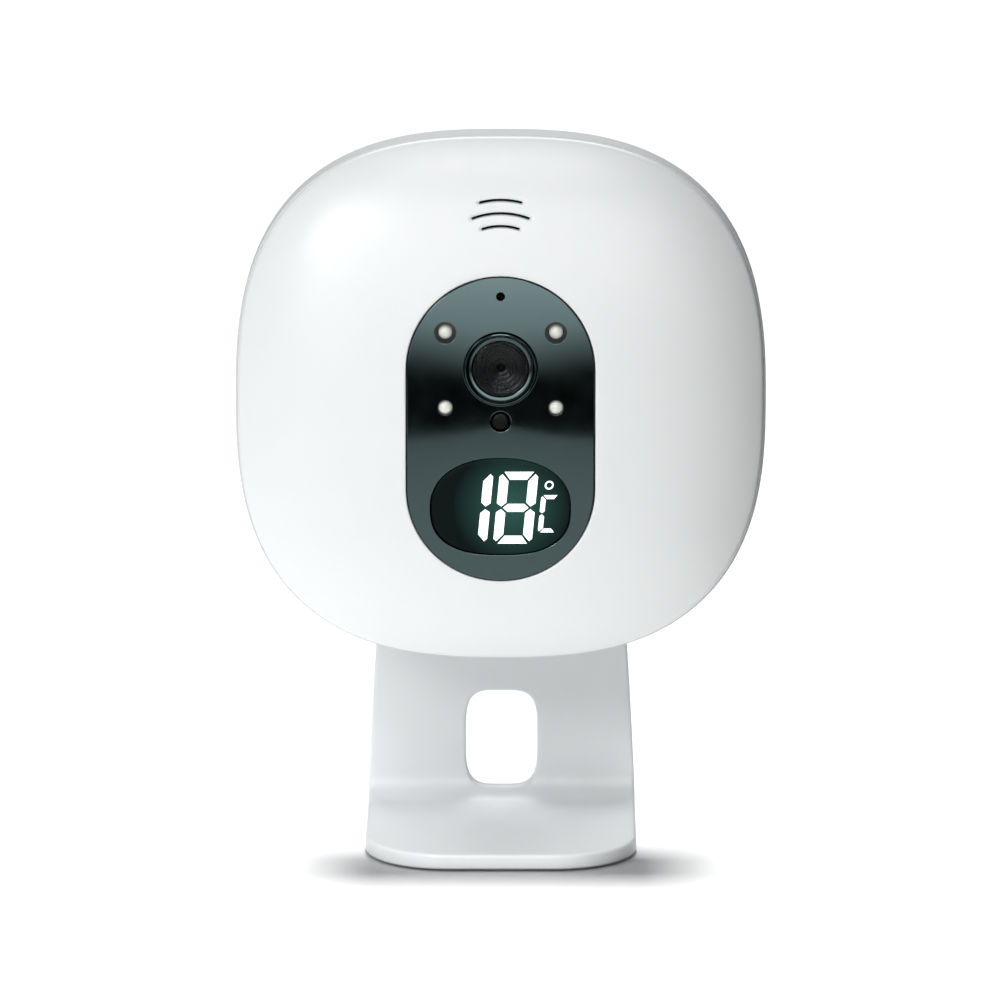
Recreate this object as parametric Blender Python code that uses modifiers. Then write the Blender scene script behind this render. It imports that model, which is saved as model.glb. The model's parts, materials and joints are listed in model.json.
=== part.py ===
"""Baby monitor camera: a square-shouldered head with a dark front window, tilting on a bent strap stand.

The frame has its origin on the table, under the middle of the object. +X is the viewer's right, -Y is the
side that looks at the child, and +Z is up. Run with: blender --background --python part.py
"""

import math

import bmesh
import bpy
from mathutils import Matrix, Vector

MM = 0.001
GAP = 0.3 * MM  # the space left between pieces that touch

# ---------------------------------------------------------------- driving dimensions

# Head. Its plan is a superellipse, and its sections are taken along "front", the way the lens looks.
HEAD_HALF = 57.3 * MM  # half the width, and half the height, of the rear housing
PLAN_POWER = 2.67
COVER_HALF = 56.9 * MM  # the front cover is a little smaller than the housing behind it
DOME_ROUND = 4.5 * MM  # the part of the front's crown that is spread over the whole face
DOME_EDGE = 5.5 * MM  # the part of it that falls away near the edge
COVER_WALL = 2.2 * MM
COVER_SKIRT = 1.2 * MM
TONGUE_DEPTH = 4.0 * MM
SIDE_DEPTH = 10.0 * MM  # the housing's straight side, behind the cover's edge
BACK_DEPTH = 20.0 * MM  # the rounded back behind that
BACK_POWER = 2.2
BACK_PLAN_POWER = 2.6
HOUSING_WALL = 2.0 * MM
PLAN_STEPS = 44

# Window: the dark panel that carries the lens, the lamps and the display.
WINDOW_WIDTH = 40.4 * MM
WINDOW_HEIGHT = 66.3 * MM
WINDOW_UP = -5.5 * MM
WINDOW_SUNK = 0.15 * MM
WINDOW_THICK = 3.6 * MM
LENS_UP = 7.9 * MM
LAMP_X = 11.9 * MM
LAMP_UPPER = 15.65 * MM
LAMP_LOWER = -0.55 * MM
LIGHT_SENSOR_UP = -3.55 * MM
MIC_UP = 23.5 * MM
DISPLAY_UP = -22.2 * MM
DISPLAY_WIDTH = 30.3 * MM
DISPLAY_HEIGHT = 21.5 * MM
SPEAKER_UP = 41.15 * MM

# Stand: one strap, bent from a foot plate into an upright that ends in the hinge barrel.
FOOT_WIDTH = 59.3 * MM
FOOT_CORNER = 18.2 * MM
FOOT_FRONT = -28.2 * MM  # where the foot's front edge is, along Y
FOOT_LIFT = 0.4 * MM  # the rubber feet stand this far out
STRAP_THICK = 3.4 * MM
BEND_RADIUS = 5.0 * MM
UPRIGHT_Y = 24.8 * MM  # the front of the upright, just above the bend
TAPER_SLOPE = 0.083  # how the strap narrows as it rises
TAPER_CURVE = 0.7  # per metre
CABLE_HOLE_WIDTH = 15.8 * MM
CABLE_HOLE_HEIGHT = 21.7 * MM
CABLE_HOLE_UP = 17.1 * MM

# Hinge.
HINGE_Y = 21.7 * MM
HINGE_Z = 82.0 * MM
HINGE_BEHIND = 40.0 * MM  # from the cover's edge plane back to the hinge axis
HINGE_BELOW = 19.0 * MM  # from the head's middle down to the hinge axis
LEAN_BACK = math.radians(2.5)  # the head looks up by this much as it stands
BARREL_RADIUS = 6.5 * MM
BARREL_HALF = 25.0 * MM
BOLT_RADIUS = 2.0 * MM
WASHER_THICK = 0.7 * MM
EAR_THICK = 6.0 * MM
EAR_RADIUS = 7.5 * MM

# Boards and buttons, as distances along front (the back is negative).
FRONT_BOARD = (2.4 * MM, 3.6 * MM)
MAIN_BOARD = (-15.6 * MM, -14.0 * MM)
SIDE_X = 38.0 * MM  # the column of buttons on one side, and of sockets on the other
UPPER_ROW = 6.0 * MM
LOWER_ROW = -12.0 * MM
SCREW_AT = 36.0 * MM  # housing screws, from the middle, both ways
BOARD_SCREW_UPS = (36.0 * MM, -38.0 * MM)

# ---------------------------------------------------------------- scene and materials


def clear_scene():
    for obj in list(bpy.data.objects):
        bpy.data.objects.remove(obj)


def collection(name):
    made = bpy.data.collections.new(name)
    bpy.context.scene.collection.children.link(made)
    return made


def material(name, colour, roughness, metallic=0.0):
    made = bpy.data.materials.new(name)
    made.use_nodes = True
    shader = made.node_tree.nodes["Principled BSDF"]
    shader.inputs["Base Color"].default_value = (*colour, 1.0)
    shader.inputs["Roughness"].default_value = roughness
    shader.inputs["Metallic"].default_value = metallic
    made.diffuse_color = (*colour, 1.0)
    return made


clear_scene()
PARTS = collection("baby_monitor_camera")
HELPERS = collection("cutters")

WHITE = material("white_shell", (0.90, 0.91, 0.90), 0.30)
PALE = material("pale_grey_shell", (0.76, 0.79, 0.79), 0.45)
BLACK_GLOSS = material("black_window", (0.010, 0.012, 0.012), 0.08)
BLACK = material("black_plastic", (0.020, 0.022, 0.022), 0.40)
SMOKE = material("smoked_lens", (0.008, 0.020, 0.020), 0.10)
CLEAR = material("clear_resin", (0.85, 0.87, 0.86), 0.10)
BOARD = material("green_board", (0.03, 0.16, 0.08), 0.50)
STEEL = material("steel", (0.62, 0.63, 0.64), 0.30, 1.0)
RUBBER = material("rubber", (0.10, 0.10, 0.11), 0.80)
FOAM = material("foam", (0.06, 0.06, 0.06), 0.95)
AMBER = material("ribbon", (0.45, 0.24, 0.05), 0.40)

# ---------------------------------------------------------------- frames

# The head's pieces are drawn in (x, up, front) about the head's middle, in the plane of the cover's edge.
FACING = Matrix.Rotation(math.pi / 2, 4, "X")

HEAD_AXIS = bpy.data.objects.new("head_tilt_axis", None)
PARTS.objects.link(HEAD_AXIS)
HEAD_AXIS.location = (0, HINGE_Y, HINGE_Z)
HEAD_AXIS.rotation_euler.x = -LEAN_BACK


def on_head(obj, at=(0, 0, 0)):
    """Parents obj to the tilt axis, with its origin at (x, up, front) on the head."""
    x, up, front = at
    obj.parent = HEAD_AXIS
    obj.location = (x, -HINGE_BEHIND - front, HINGE_BELOW + up)
    obj.rotation_euler = FACING.to_euler()
    return obj


# ---------------------------------------------------------------- outlines


def superellipse(half_width, half_height, power, count):
    points = []
    for i in range(count):
        a = 2 * math.pi * i / count
        c, s = math.cos(a), math.sin(a)
        size = (abs(c) ** power + abs(s) ** power) ** (-1 / power)
        points.append((half_width * c * size, half_height * s * size))
    return points


def arc(centre, radius, start, end, steps):
    """Points on an arc, from start to end in degrees, both ends included."""
    angles = [math.radians(start + (end - start) * i / steps) for i in range(steps + 1)]
    return [(centre[0] + radius * math.cos(a), centre[1] + radius * math.sin(a)) for a in angles]


def stadium(width, height, up=0.0, steps=12):
    """An outline with two straight sides and two round ends, upright or lying by its proportions."""
    r = min(width, height) / 2
    reach = max(width, height) / 2 - r
    if height > width:
        return arc((0, up + reach), r, 0, 180, steps) + arc((0, up - reach), r, 180, 360, steps)
    return arc((reach, up), r, -90, 90, steps) + arc((-reach, up), r, 90, 270, steps)


def rounded_rectangle(width, height, radius, centre=(0, 0), steps=3):
    x, y = width / 2 - radius, height / 2 - radius
    corners = ((x, y, 0), (-x, y, 90), (-x, -y, 180), (x, -y, 270))
    points = []
    for cx, cy, start in corners:
        points += arc((centre[0] + cx, centre[1] + cy), radius, start, start + 90, steps)
    return points


def squared_oval(half_width, half_height, upper_power, lower_power, up=0.0, steps=44):
    """An oval whose lower half is squarer than its upper half."""
    points = []
    for i in range(steps):
        a = 2 * math.pi * i / steps
        c, s = math.cos(a), math.sin(a)
        power = upper_power if s > 0 else lower_power
        size = (abs(c) ** power + abs(s) ** power) ** (-1 / power)
        points.append((half_width * c * size, up + half_height * s * size))
    return points


def bowed_slot(chord, rise, width, up, steps=8):
    """A thin slot that bows upwards: chord wide, with its middle rise above its ends."""
    radius = (chord**2 / 4 + rise**2) / (2 * rise)
    half = math.degrees(math.asin(chord / 2 / radius))
    middle = (0, up - radius)
    outer = arc(middle, radius + width / 2, 90 - half, 90 + half, steps)
    inner = arc(middle, radius - width / 2, 90 + half, 90 - half, steps)
    return outer + inner


# ---------------------------------------------------------------- solids


def add(name, mesh, finish, helper=False):
    obj = bpy.data.objects.new(name, mesh)
    if finish:
        mesh.materials.append(finish)
    (HELPERS if helper else PARTS).objects.link(obj)
    if helper:
        obj.hide_render = True
        obj.display_type = "WIRE"
    return obj


def smooth(mesh, angle=40):
    mesh.shade_smooth()
    mesh.set_sharp_from_angle(angle=math.radians(angle))


def evaluated_mesh(obj):
    graph = bpy.context.evaluated_depsgraph_get()
    return bpy.data.meshes.new_from_object(obj.evaluated_get(graph))


def prism(name, outline, low, high, finish=None, helper=False):
    """A flat outline given thickness along front, from low to high."""
    curve = bpy.data.curves.new(name, "CURVE")
    curve.dimensions = "2D"
    curve.fill_mode = "BOTH"
    curve.extrude = (high - low) / 2
    spline = curve.splines.new("POLY")
    spline.points.add(len(outline) - 1)
    for point, (x, y) in zip(spline.points, outline):
        point.co = (x, y, 0, 1)
    spline.use_cyclic_u = True
    drawn = bpy.data.objects.new(name + "_outline", curve)
    HELPERS.objects.link(drawn)
    bpy.context.view_layer.update()
    mesh = evaluated_mesh(drawn)
    bpy.data.objects.remove(drawn)
    mesh.transform(Matrix.Translation((0, 0, (low + high) / 2)))
    shape = bmesh.new()
    shape.from_mesh(mesh)
    bmesh.ops.remove_doubles(shape, verts=shape.verts, dist=1e-6)
    bmesh.ops.recalc_face_normals(shape, faces=shape.faces)
    shape.to_mesh(mesh)
    shape.free()
    mesh.name = name
    return add(name, mesh, finish, helper)


def box(name, size, centre, finish=None, helper=False):
    shape = bmesh.new()
    bmesh.ops.create_cube(shape, size=1.0)
    bmesh.ops.scale(shape, vec=size, verts=shape.verts)
    bmesh.ops.translate(shape, vec=centre, verts=shape.verts)
    mesh = bpy.data.meshes.new(name)
    shape.to_mesh(mesh)
    shape.free()
    return add(name, mesh, finish, helper)


def cylinder(name, radius, low, high, centre=(0, 0), finish=None, helper=False, sides=24):
    """A round bar along front, from low to high."""
    shape = bmesh.new()
    bmesh.ops.create_cone(
        shape, cap_ends=True, segments=sides, radius1=radius, radius2=radius, depth=high - low
    )
    bmesh.ops.translate(shape, vec=(*centre, (low + high) / 2), verts=shape.verts)
    mesh = bpy.data.meshes.new(name)
    shape.to_mesh(mesh)
    shape.free()
    smooth(mesh)
    return add(name, mesh, finish, helper)


def turned(name, profile, finish=None, helper=False, steps=24):
    """A profile of (radius, front) points turned about front. It runs down its outer side."""
    mesh = bpy.data.meshes.new(name)
    closed = profile[0][0] > 0
    count = len(profile)
    edges = [(i, i + 1) for i in range(count - 1)]
    if closed:
        edges.append((count - 1, 0))
    mesh.from_pydata([(r, 0, f) for r, f in profile], edges, [])
    obj = add(name, mesh, finish, helper)
    turn = obj.modifiers.new("turn", "SCREW")
    turn.axis = "Z"
    turn.steps = steps
    turn.render_steps = steps
    turn.use_merge_vertices = True
    turn.merge_threshold = 1e-5
    turn.use_smooth_shade = True
    return obj


def squared(obj):
    """Pushes a turned piece out to the head's superellipse plan, ring by ring."""
    bpy.context.view_layer.update()
    mesh = evaluated_mesh(obj)
    for vertex in mesh.vertices:
        x, y, front = vertex.co
        radius = math.hypot(x, y)
        if radius > 1e-6:
            c, s = abs(x) / radius, abs(y) / radius
            size = (c**PLAN_POWER + s**PLAN_POWER) ** (-1 / PLAN_POWER)
            vertex.co = (x * size, y * size, front)
    smooth(mesh)
    obj.modifiers.clear()
    obj.data = mesh
    return obj


def boolean(obj, other, operation):
    step = obj.modifiers.new(other.name, "BOOLEAN")
    step.operation = operation
    step.object = other
    step.solver = "EXACT"
    return obj


def cut(obj, *cutters):
    for cutter in cutters:
        boolean(obj, cutter, "DIFFERENCE")
    return obj


def join(obj, *others):
    for other in others:
        boolean(obj, other, "UNION")
    return obj


# ---------------------------------------------------------------- the head's two surfaces


def dome(radius):
    """How far the front's crown stands out in front of the cover's edge, at a plan radius."""
    share = min(radius / COVER_HALF, 1.0)
    return DOME_ROUND * (1 - share**2) + DOME_EDGE * (1 - share**6)


def plan_radius(x, up):
    return (abs(x) ** PLAN_POWER + abs(up) ** PLAN_POWER) ** (1 / PLAN_POWER)


def back(share):
    """How far the housing's back lies behind the cover's edge, at a share of its half width."""
    return SIDE_DEPTH + BACK_DEPTH * (1 - share**BACK_PLAN_POWER) ** (1 / BACK_POWER)


DOME_RINGS = (0.0, 0.25, 0.45, 0.62, 0.76, 0.87, 0.95, 0.985)
BACK_RINGS = (0.0, 0.35, 0.6, 0.77, 0.89, 0.96, 0.99, 0.999)


def make_front_cover():
    edge_round = 0.5 * MM
    tongue_outer = COVER_HALF - 2.0 * MM
    tongue_inner = COVER_HALF - 3.4 * MM
    outer = [(share * COVER_HALF, dome(share * COVER_HALF)) for share in DOME_RINGS]
    outer += [(COVER_HALF, -edge_round), (COVER_HALF, -COVER_SKIRT)]
    tongue = [(tongue_outer, -COVER_SKIRT), (tongue_outer, -TONGUE_DEPTH), (tongue_inner, -TONGUE_DEPTH)]
    inner = [(share * COVER_HALF, dome(share * COVER_HALF) - COVER_WALL) for share in DOME_RINGS[:6]]
    inner.append((tongue_inner, dome(tongue_inner) - COVER_WALL))
    cover = squared(turned("front_cover", outer + tongue + inner[::-1], WHITE, steps=PLAN_STEPS))
    on_head(cover)
    for i, (x, up) in enumerate(four_corners(SCREW_AT)):
        post = on_head(cylinder(f"cover_post_{i}", 3.5 * MM, -5.7 * MM, 3.2 * MM, (x, up), helper=True, sides=16))
        pilot = on_head(cylinder(f"cover_pilot_{i}", 1.7 * MM, -8 * MM, 1.0 * MM, (x, up), helper=True, sides=12))
        join(cover, post)
        cut(cover, pilot)
    aperture = stadium(WINDOW_WIDTH + 0.4 * MM, WINDOW_HEIGHT + 0.4 * MM, WINDOW_UP)
    cut(cover, on_head(prism("cover_aperture", aperture, 0, 14 * MM, helper=True)))
    for i, (chord, rise, up) in enumerate(speaker_slots()):
        slot = bowed_slot(chord, rise, 0.65 * MM, SPEAKER_UP + up)
        cut(cover, on_head(prism(f"speaker_slot_{i}", slot, 0, 14 * MM, helper=True)))
    return cover


def speaker_slots():
    """(chord, rise, middle above the speaker's axis) of the three slots in the cover."""
    return ((9.0 * MM, 0.5 * MM, 2.8 * MM), (12.2 * MM, 1.0 * MM, 0.0), (7.9 * MM, 0.55 * MM, -2.7 * MM))


def four_corners(reach):
    return [(x, up) for up in (reach, -reach) for x in (-reach, reach)]


def back_shell_profile(shrink):
    """The housing's outer line, from its pole to the front of its side, moved in by shrink."""
    line = [(share * (HEAD_HALF - shrink), -back(share) + shrink) for share in BACK_RINGS]
    line.append((HEAD_HALF - shrink, -SIDE_DEPTH))
    return line


def make_rear_housing():
    front_edge = -COVER_SKIRT - GAP
    outside = back_shell_profile(0.0) + [(HEAD_HALF, front_edge)]
    inside = back_shell_profile(HOUSING_WALL) + [(HEAD_HALF - HOUSING_WALL, front_edge)]
    # The inner line runs back to the pole, so that the profile as a whole runs down its outer side.
    profile = inside + outside[::-1]
    housing = squared(turned("rear_housing", profile, PALE, steps=PLAN_STEPS))
    on_head(housing)

    limit = back_shell_profile(0.7 * MM)
    limit = [(0.0, -2 * MM), (HEAD_HALF - 0.7 * MM, -2 * MM)] + limit[::-1]
    envelope = on_head(squared(turned("housing_envelope", limit, helper=True, steps=PLAN_STEPS)))

    def inside_back(piece):
        """Trims a boss or pad to the housing's own outer shape, and joins it on."""
        boolean(on_head(piece), envelope, "INTERSECT")
        join(housing, piece)

    deep = -34 * MM
    for i, (x, up) in enumerate(four_corners(SCREW_AT)):
        inside_back(cylinder(f"screw_boss_{i}", 4.3 * MM, deep, -6 * MM, (x, up), helper=True, sides=20))
    for i, up in enumerate(BOARD_SCREW_UPS):
        inside_back(cylinder(f"board_post_{i}", 3.2 * MM, deep, MAIN_BOARD[0] - GAP, (0, up), helper=True, sides=16))
    socket_row = (UPPER_ROW + LOWER_ROW) / 2
    bay_pad = rounded_rectangle(20 * MM, 38 * MM, 4 * MM, (-SIDE_X, socket_row))
    inside_back(prism("bay_pad", bay_pad, deep, -22.4 * MM, helper=True))

    for i, (x, up) in enumerate(four_corners(SCREW_AT)):
        sink = cylinder(f"screw_sink_{i}", 3.4 * MM, deep, -9.7 * MM, (x, up), helper=True, sides=20)
        shaft = cylinder(f"screw_way_{i}", 1.75 * MM, -12 * MM, 0, (x, up), helper=True, sides=12)
        cut(housing, on_head(sink), on_head(shaft))
    for i, up in enumerate(BOARD_SCREW_UPS):
        pilot = cylinder(f"board_pilot_{i}", 1.4 * MM, -23 * MM, -14 * MM, (0, up), helper=True, sides=12)
        cut(housing, on_head(pilot))
    bay = rounded_rectangle(16 * MM, 34 * MM, 3 * MM, (-SIDE_X, socket_row))
    cut(housing, on_head(prism("bay_recess", bay, deep, -24.4 * MM, helper=True)))
    for name, up, radius in (("dc", UPPER_ROW, 4.3 * MM), ("sensor", LOWER_ROW, 3.6 * MM)):
        hole = cylinder(f"{name}_hole", radius, deep, -20 * MM, (-SIDE_X, up), helper=True)
        cut(housing, on_head(hole))
    for name, up, radius in (("power", UPPER_ROW, 4.4 * MM), ("pair", LOWER_ROW, 3.4 * MM)):
        hole = cylinder(f"{name}_hole", radius, deep, -20 * MM, (SIDE_X, up), helper=True)
        cut(housing, on_head(hole))
    for row in range(5):
        outline = stadium(26 * MM, 1.6 * MM, 18 * MM + row * 4 * MM, steps=4)
        cut(housing, on_head(prism(f"vent_{row}", outline, deep, -24 * MM, helper=True)))

    for side in (-1, 1):
        add_ear(housing, side)
    return housing


def add_ear(housing, side):
    """One of the two lugs that hold the hinge bolt, with its bolt hole and its sunk end."""
    base_front = -25.2 * MM
    inner = side * (BARREL_HALF + WASHER_THICK + 2 * 0.22 * MM)
    outer = inner + side * EAR_THICK
    outline = [(-7 * MM, base_front)]
    outline += arc((-HINGE_BELOW, -HINGE_BEHIND), EAR_RADIUS, 0, -180, 12)
    outline += [(-31 * MM, base_front)]
    low, high = sorted((inner, outer))
    ear = prism(f"ear_{side}", outline, low, high, helper=True)
    # The outline was drawn as (up, front), so its thickness turns to lie along x.
    ear.data.transform(Matrix(((0, 0, 1, 0), (1, 0, 0, 0), (0, 1, 0, 0), (0, 0, 0, 1))))
    join(housing, on_head(ear))
    hole = across(f"ear_hole_{side}", BOLT_RADIUS + 0.25 * MM, 0, side * 40 * MM)
    sunk = across(f"ear_sink_{side}", 4.3 * MM, outer - side * 3.2 * MM, side * 40 * MM)
    cut(housing, hole, sunk)


def across(name, radius, start, end, finish=None, helper=True, sides=24):
    """A round bar along X on the hinge axis, as a piece of the head."""
    low, high = sorted((start, end))
    bar = cylinder(name, radius, low, high, finish=finish, helper=helper, sides=sides)
    bar.data.transform(Matrix.Translation((0, -HINGE_BELOW, -HINGE_BEHIND)) @ TO_X)
    return on_head(bar)


TO_X = Matrix.Rotation(math.pi / 2, 4, "Y")

# ---------------------------------------------------------------- the window and what looks out of it


def crown_slab(name, top, bottom, finish=None, helper=True):
    """A plate of even thickness that follows the front's crown, from top to bottom below it."""
    rings = [share * COVER_HALF for share in DOME_RINGS[:6]]
    upper = [(r, dome(r) - top) for r in rings]
    lower = [(r, dome(r) - bottom) for r in rings]
    return on_head(squared(turned(name, upper + lower[::-1], finish, helper, PLAN_STEPS)))


def make_window():
    """The dark panel: a slice of the cover's crown, with a flange behind the cover's wall."""
    panel = crown_slab("window_panel", WINDOW_SUNK, WINDOW_THICK, BLACK_GLOSS, False)
    outline = stadium(WINDOW_WIDTH, WINDOW_HEIGHT, WINDOW_UP)
    boolean(panel, on_head(prism("window_outline", outline, -9 * MM, 14 * MM, helper=True)), "INTERSECT")
    flange = crown_slab("window_flange", COVER_WALL + GAP, WINDOW_THICK)
    outline = stadium(WINDOW_WIDTH + 3.6 * MM, WINDOW_HEIGHT + 3.6 * MM, WINDOW_UP)
    boolean(flange, on_head(prism("flange_outline", outline, -9 * MM, 14 * MM, helper=True)), "INTERSECT")
    join(panel, flange)
    holes = [("lens", 7.95, 0.0, LENS_UP), ("mic", 0.9, 0.0, MIC_UP), ("light", 2.2, 0.0, LIGHT_SENSOR_UP)]
    for side in (-1, 1):
        holes.append((f"upper_lamp_{side}", 2.3, side * LAMP_X, LAMP_UPPER))
        holes.append((f"lower_lamp_{side}", 1.75, side * LAMP_X, LAMP_LOWER))
    for name, radius, x, up in holes:
        cutter = cylinder(f"{name}_way", radius * MM, 0, 14 * MM, (x, up), helper=True, sides=20)
        cut(panel, on_head(cutter))
    cut(panel, on_head(prism("display_opening", display_outline(0), 0, 14 * MM, helper=True)))
    display_lens = crown_slab("display_lens", 0.35 * MM, 3.3 * MM, SMOKE, False)
    fitted = prism("display_lens_outline", display_outline(-GAP), 0, 14 * MM, helper=True)
    boolean(display_lens, on_head(fitted), "INTERSECT")


def make_lens():
    """Ring, glass, stepped baffle, barrel, holder, chip and board, from the front to the back."""
    ring = [(6.9, 10.7), (7.75, 10.3), (7.75, 4.9), (6.15, 4.9), (6.15, 10.3)]
    lens_piece("lens_ring", ring, BLACK_GLOSS, 28)
    glass = [(0, 10.15), (5.4, 10.05), (5.95, 9.8), (5.95, 9.5), (0, 9.5)]
    lens_piece("lens_glass", glass, CLEAR, 24)
    steps = [(5.95, 9.2), (5.95, 4.9), (0, 4.9), (0, 5.3), (1.0, 5.3)]
    for inner, outer, depth in ((1.0, 2.5, 6.3), (2.5, 3.3, 7.0), (3.3, 4.15, 7.7), (4.15, 5.0, 8.4)):
        steps += [(inner, depth), (outer, depth)]
    steps += [(5.0, 9.2)]
    lens_piece("lens_baffle", steps, BLACK, 24)
    lens_piece("lens_barrel", [(6.0, 4.6), (6.0, -4.0), (4.6, -4.0), (4.6, 4.6)], BLACK, 24)
    collar = cylinder("holder_collar", 7.2 * MM, -6.8 * MM, 1.6 * MM, (0, LENS_UP), helper=True)
    bore = cylinder("holder_bore", 6.25 * MM, -9 * MM, 3 * MM, (0, LENS_UP), helper=True)
    holder = on_head(box("lens_holder", (15.5 * MM, 15.5 * MM, 4 * MM), (0, LENS_UP, -4.8 * MM), BLACK))
    join(holder, on_head(collar))
    cut(holder, on_head(bore))
    on_head(box("camera_board", (19 * MM, 19 * MM, 1.2 * MM), (0, LENS_UP, -7.7 * MM), BOARD))
    on_head(box("image_sensor", (7 * MM, 7 * MM, 1.1 * MM), (0, LENS_UP, -6.25 * MM), BLACK))
    make_ribbon()


def lens_piece(name, profile, finish, steps):
    made = turned(name, [(r * MM, front * MM) for r, front in profile], finish, steps=steps)
    return on_head(made, (0, LENS_UP, 0))


def make_ribbon():
    """The flat cable from the camera board to the main board, in one S."""
    thick = 0.35 * MM
    up = LENS_UP - 12.5 * MM
    front_end, back_end = -8.7 * MM, MAIN_BOARD[1] + GAP
    middle = (front_end + back_end) / 2
    radius = (front_end - back_end) / 4
    line = [(up + 7 * MM, front_end)]
    line += arc((up, front_end - radius), radius, 90, 270, 6)
    line += arc((up + 5 * MM, middle - radius), radius, 90, -90, 6)
    line.append((up, back_end))
    outline = offset_strip(line, thick)
    ribbon = prism("camera_ribbon", outline, -4.5 * MM, 4.5 * MM, AMBER)
    ribbon.data.transform(Matrix(((0, 0, 1, 0), (1, 0, 0, 0), (0, 1, 0, 0), (0, 0, 0, 1))))
    on_head(ribbon)


def offset_strip(line, thickness):
    """The outline of a thin strip whose middle follows the line."""
    left, right = [], []
    for i, point in enumerate(line):
        before = Vector(line[max(i - 1, 0)])
        after = Vector(line[min(i + 1, len(line) - 1)])
        along = (after - before).normalized()
        side = Vector((-along.y, along.x)) * thickness / 2
        left.append(tuple(Vector(point) + side))
        right.append(tuple(Vector(point) - side))
    return left + right[::-1]


def make_front_electronics():
    """The lamps, light sensor and microphone, on the board behind the window."""
    board = on_head(
        prism("front_board", rounded_rectangle(36 * MM, 38.4 * MM, 13 * MM, (0, 7.6 * MM), 5), *FRONT_BOARD, BOARD)
    )
    cut(board, on_head(cylinder("board_lens_way", 7.6 * MM, 0, 6 * MM, (0, LENS_UP), helper=True)))
    seat = FRONT_BOARD[1] + GAP
    names = ("upper_left", "upper_right", "lower_left", "lower_right")
    places = [(x, up) for up in (LAMP_UPPER, LAMP_LOWER) for x in (-LAMP_X, LAMP_X)]
    for name, (x, up) in zip(names, places):
        tip = dome(plan_radius(x, up)) + (-0.7 * MM if up == LAMP_UPPER else 0.05 * MM)
        lamp = turned(f"infrared_lamp_{name}", lamp_profile(tip - seat), CLEAR, steps=16)
        on_head(lamp, (x, up, seat))
    sensor_tip = dome(abs(LIGHT_SENSOR_UP)) - 0.5 * MM - seat
    sensor = [(0, sensor_tip), (1.5 * MM, sensor_tip), (1.9 * MM, sensor_tip - 0.4 * MM), (1.9 * MM, 0), (0, 0)]
    on_head(turned("light_sensor", sensor, SMOKE, steps=20), (0, LIGHT_SENSOR_UP, seat))
    on_head(cylinder("microphone", 3.0 * MM, seat, seat + 1.4 * MM, (0, MIC_UP), STEEL, sides=20))


def lamp_profile(height):
    """A 3 mm lamp: a round tip, a straight body and a wider base."""
    radius, base_radius, base_height = 1.5 * MM, 1.9 * MM, 1.0 * MM
    tip = [(radius * math.sin(a), height - radius + radius * math.cos(a)) for a in (0, 0.42, 0.84, 1.2, 1.57)]
    return tip + [(radius, base_height), (base_radius, base_height), (base_radius, 0), (0, 0)]


def display_outline(grow):
    """The display's opening in the window, made larger all round by grow."""
    return squared_oval(DISPLAY_WIDTH / 2 + grow, DISPLAY_HEIGHT / 2 + grow, 2.2, 2.6, DISPLAY_UP)


def make_display():
    block = rounded_rectangle(28.5 * MM, 19.5 * MM, 2 * MM, (0, DISPLAY_UP))
    on_head(prism("display_module", block, -3.0 * MM, 4.2 * MM, BLACK))
    board = rounded_rectangle(34 * MM, 24 * MM, 2 * MM, (0, DISPLAY_UP - 1 * MM))
    on_head(prism("display_board", board, -4.5 * MM, -3.3 * MM, BOARD))


def make_speaker():
    at = (0, SPEAKER_UP - 1.5 * MM, -0.5 * MM)
    frame = [(10.5, 0.6), (10.5, -0.6), (9.3, -0.8), (6.3, -4.0), (5.2, -4.0), (8.6, 0.0), (8.6, 0.6)]
    on_head(turned("speaker_frame", [(r * MM, f * MM) for r, f in frame], STEEL, steps=24), at)
    cone = [(3.0, -1.0), (8.2, 0.5), (8.2, 0.15), (4.2, -3.4), (0, -3.4), (0, -1.6)]
    on_head(turned("speaker_cone", speaker_cone_profile(cone), BLACK, steps=24), at)
    magnet = [(0, -4.3), (6.0, -4.3), (6.0, -8.0), (0, -8.0)]
    on_head(turned("speaker_magnet", [(r * MM, f * MM) for r, f in magnet], STEEL, steps=24), at)
    gasket = [(10.5, 1.5), (10.5, 0.9), (8.9, 0.9), (8.9, 1.5)]
    on_head(turned("speaker_gasket", [(r * MM, f * MM) for r, f in gasket], FOAM, steps=24), at)


def speaker_cone_profile(points):
    """The cone as a shallow dish with a dust cap, closed at the axis."""
    (cap_r, cap_f), rim, rim_under, neck, neck_axis, _ = points
    cap = [(0, cap_f + 0.7), (cap_r * 0.6, cap_f + 0.45), (cap_r, cap_f - 0.6)]
    return [(r * MM, f * MM) for r, f in cap + [rim, rim_under, neck, neck_axis]]


# ---------------------------------------------------------------- main board and its parts


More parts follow.
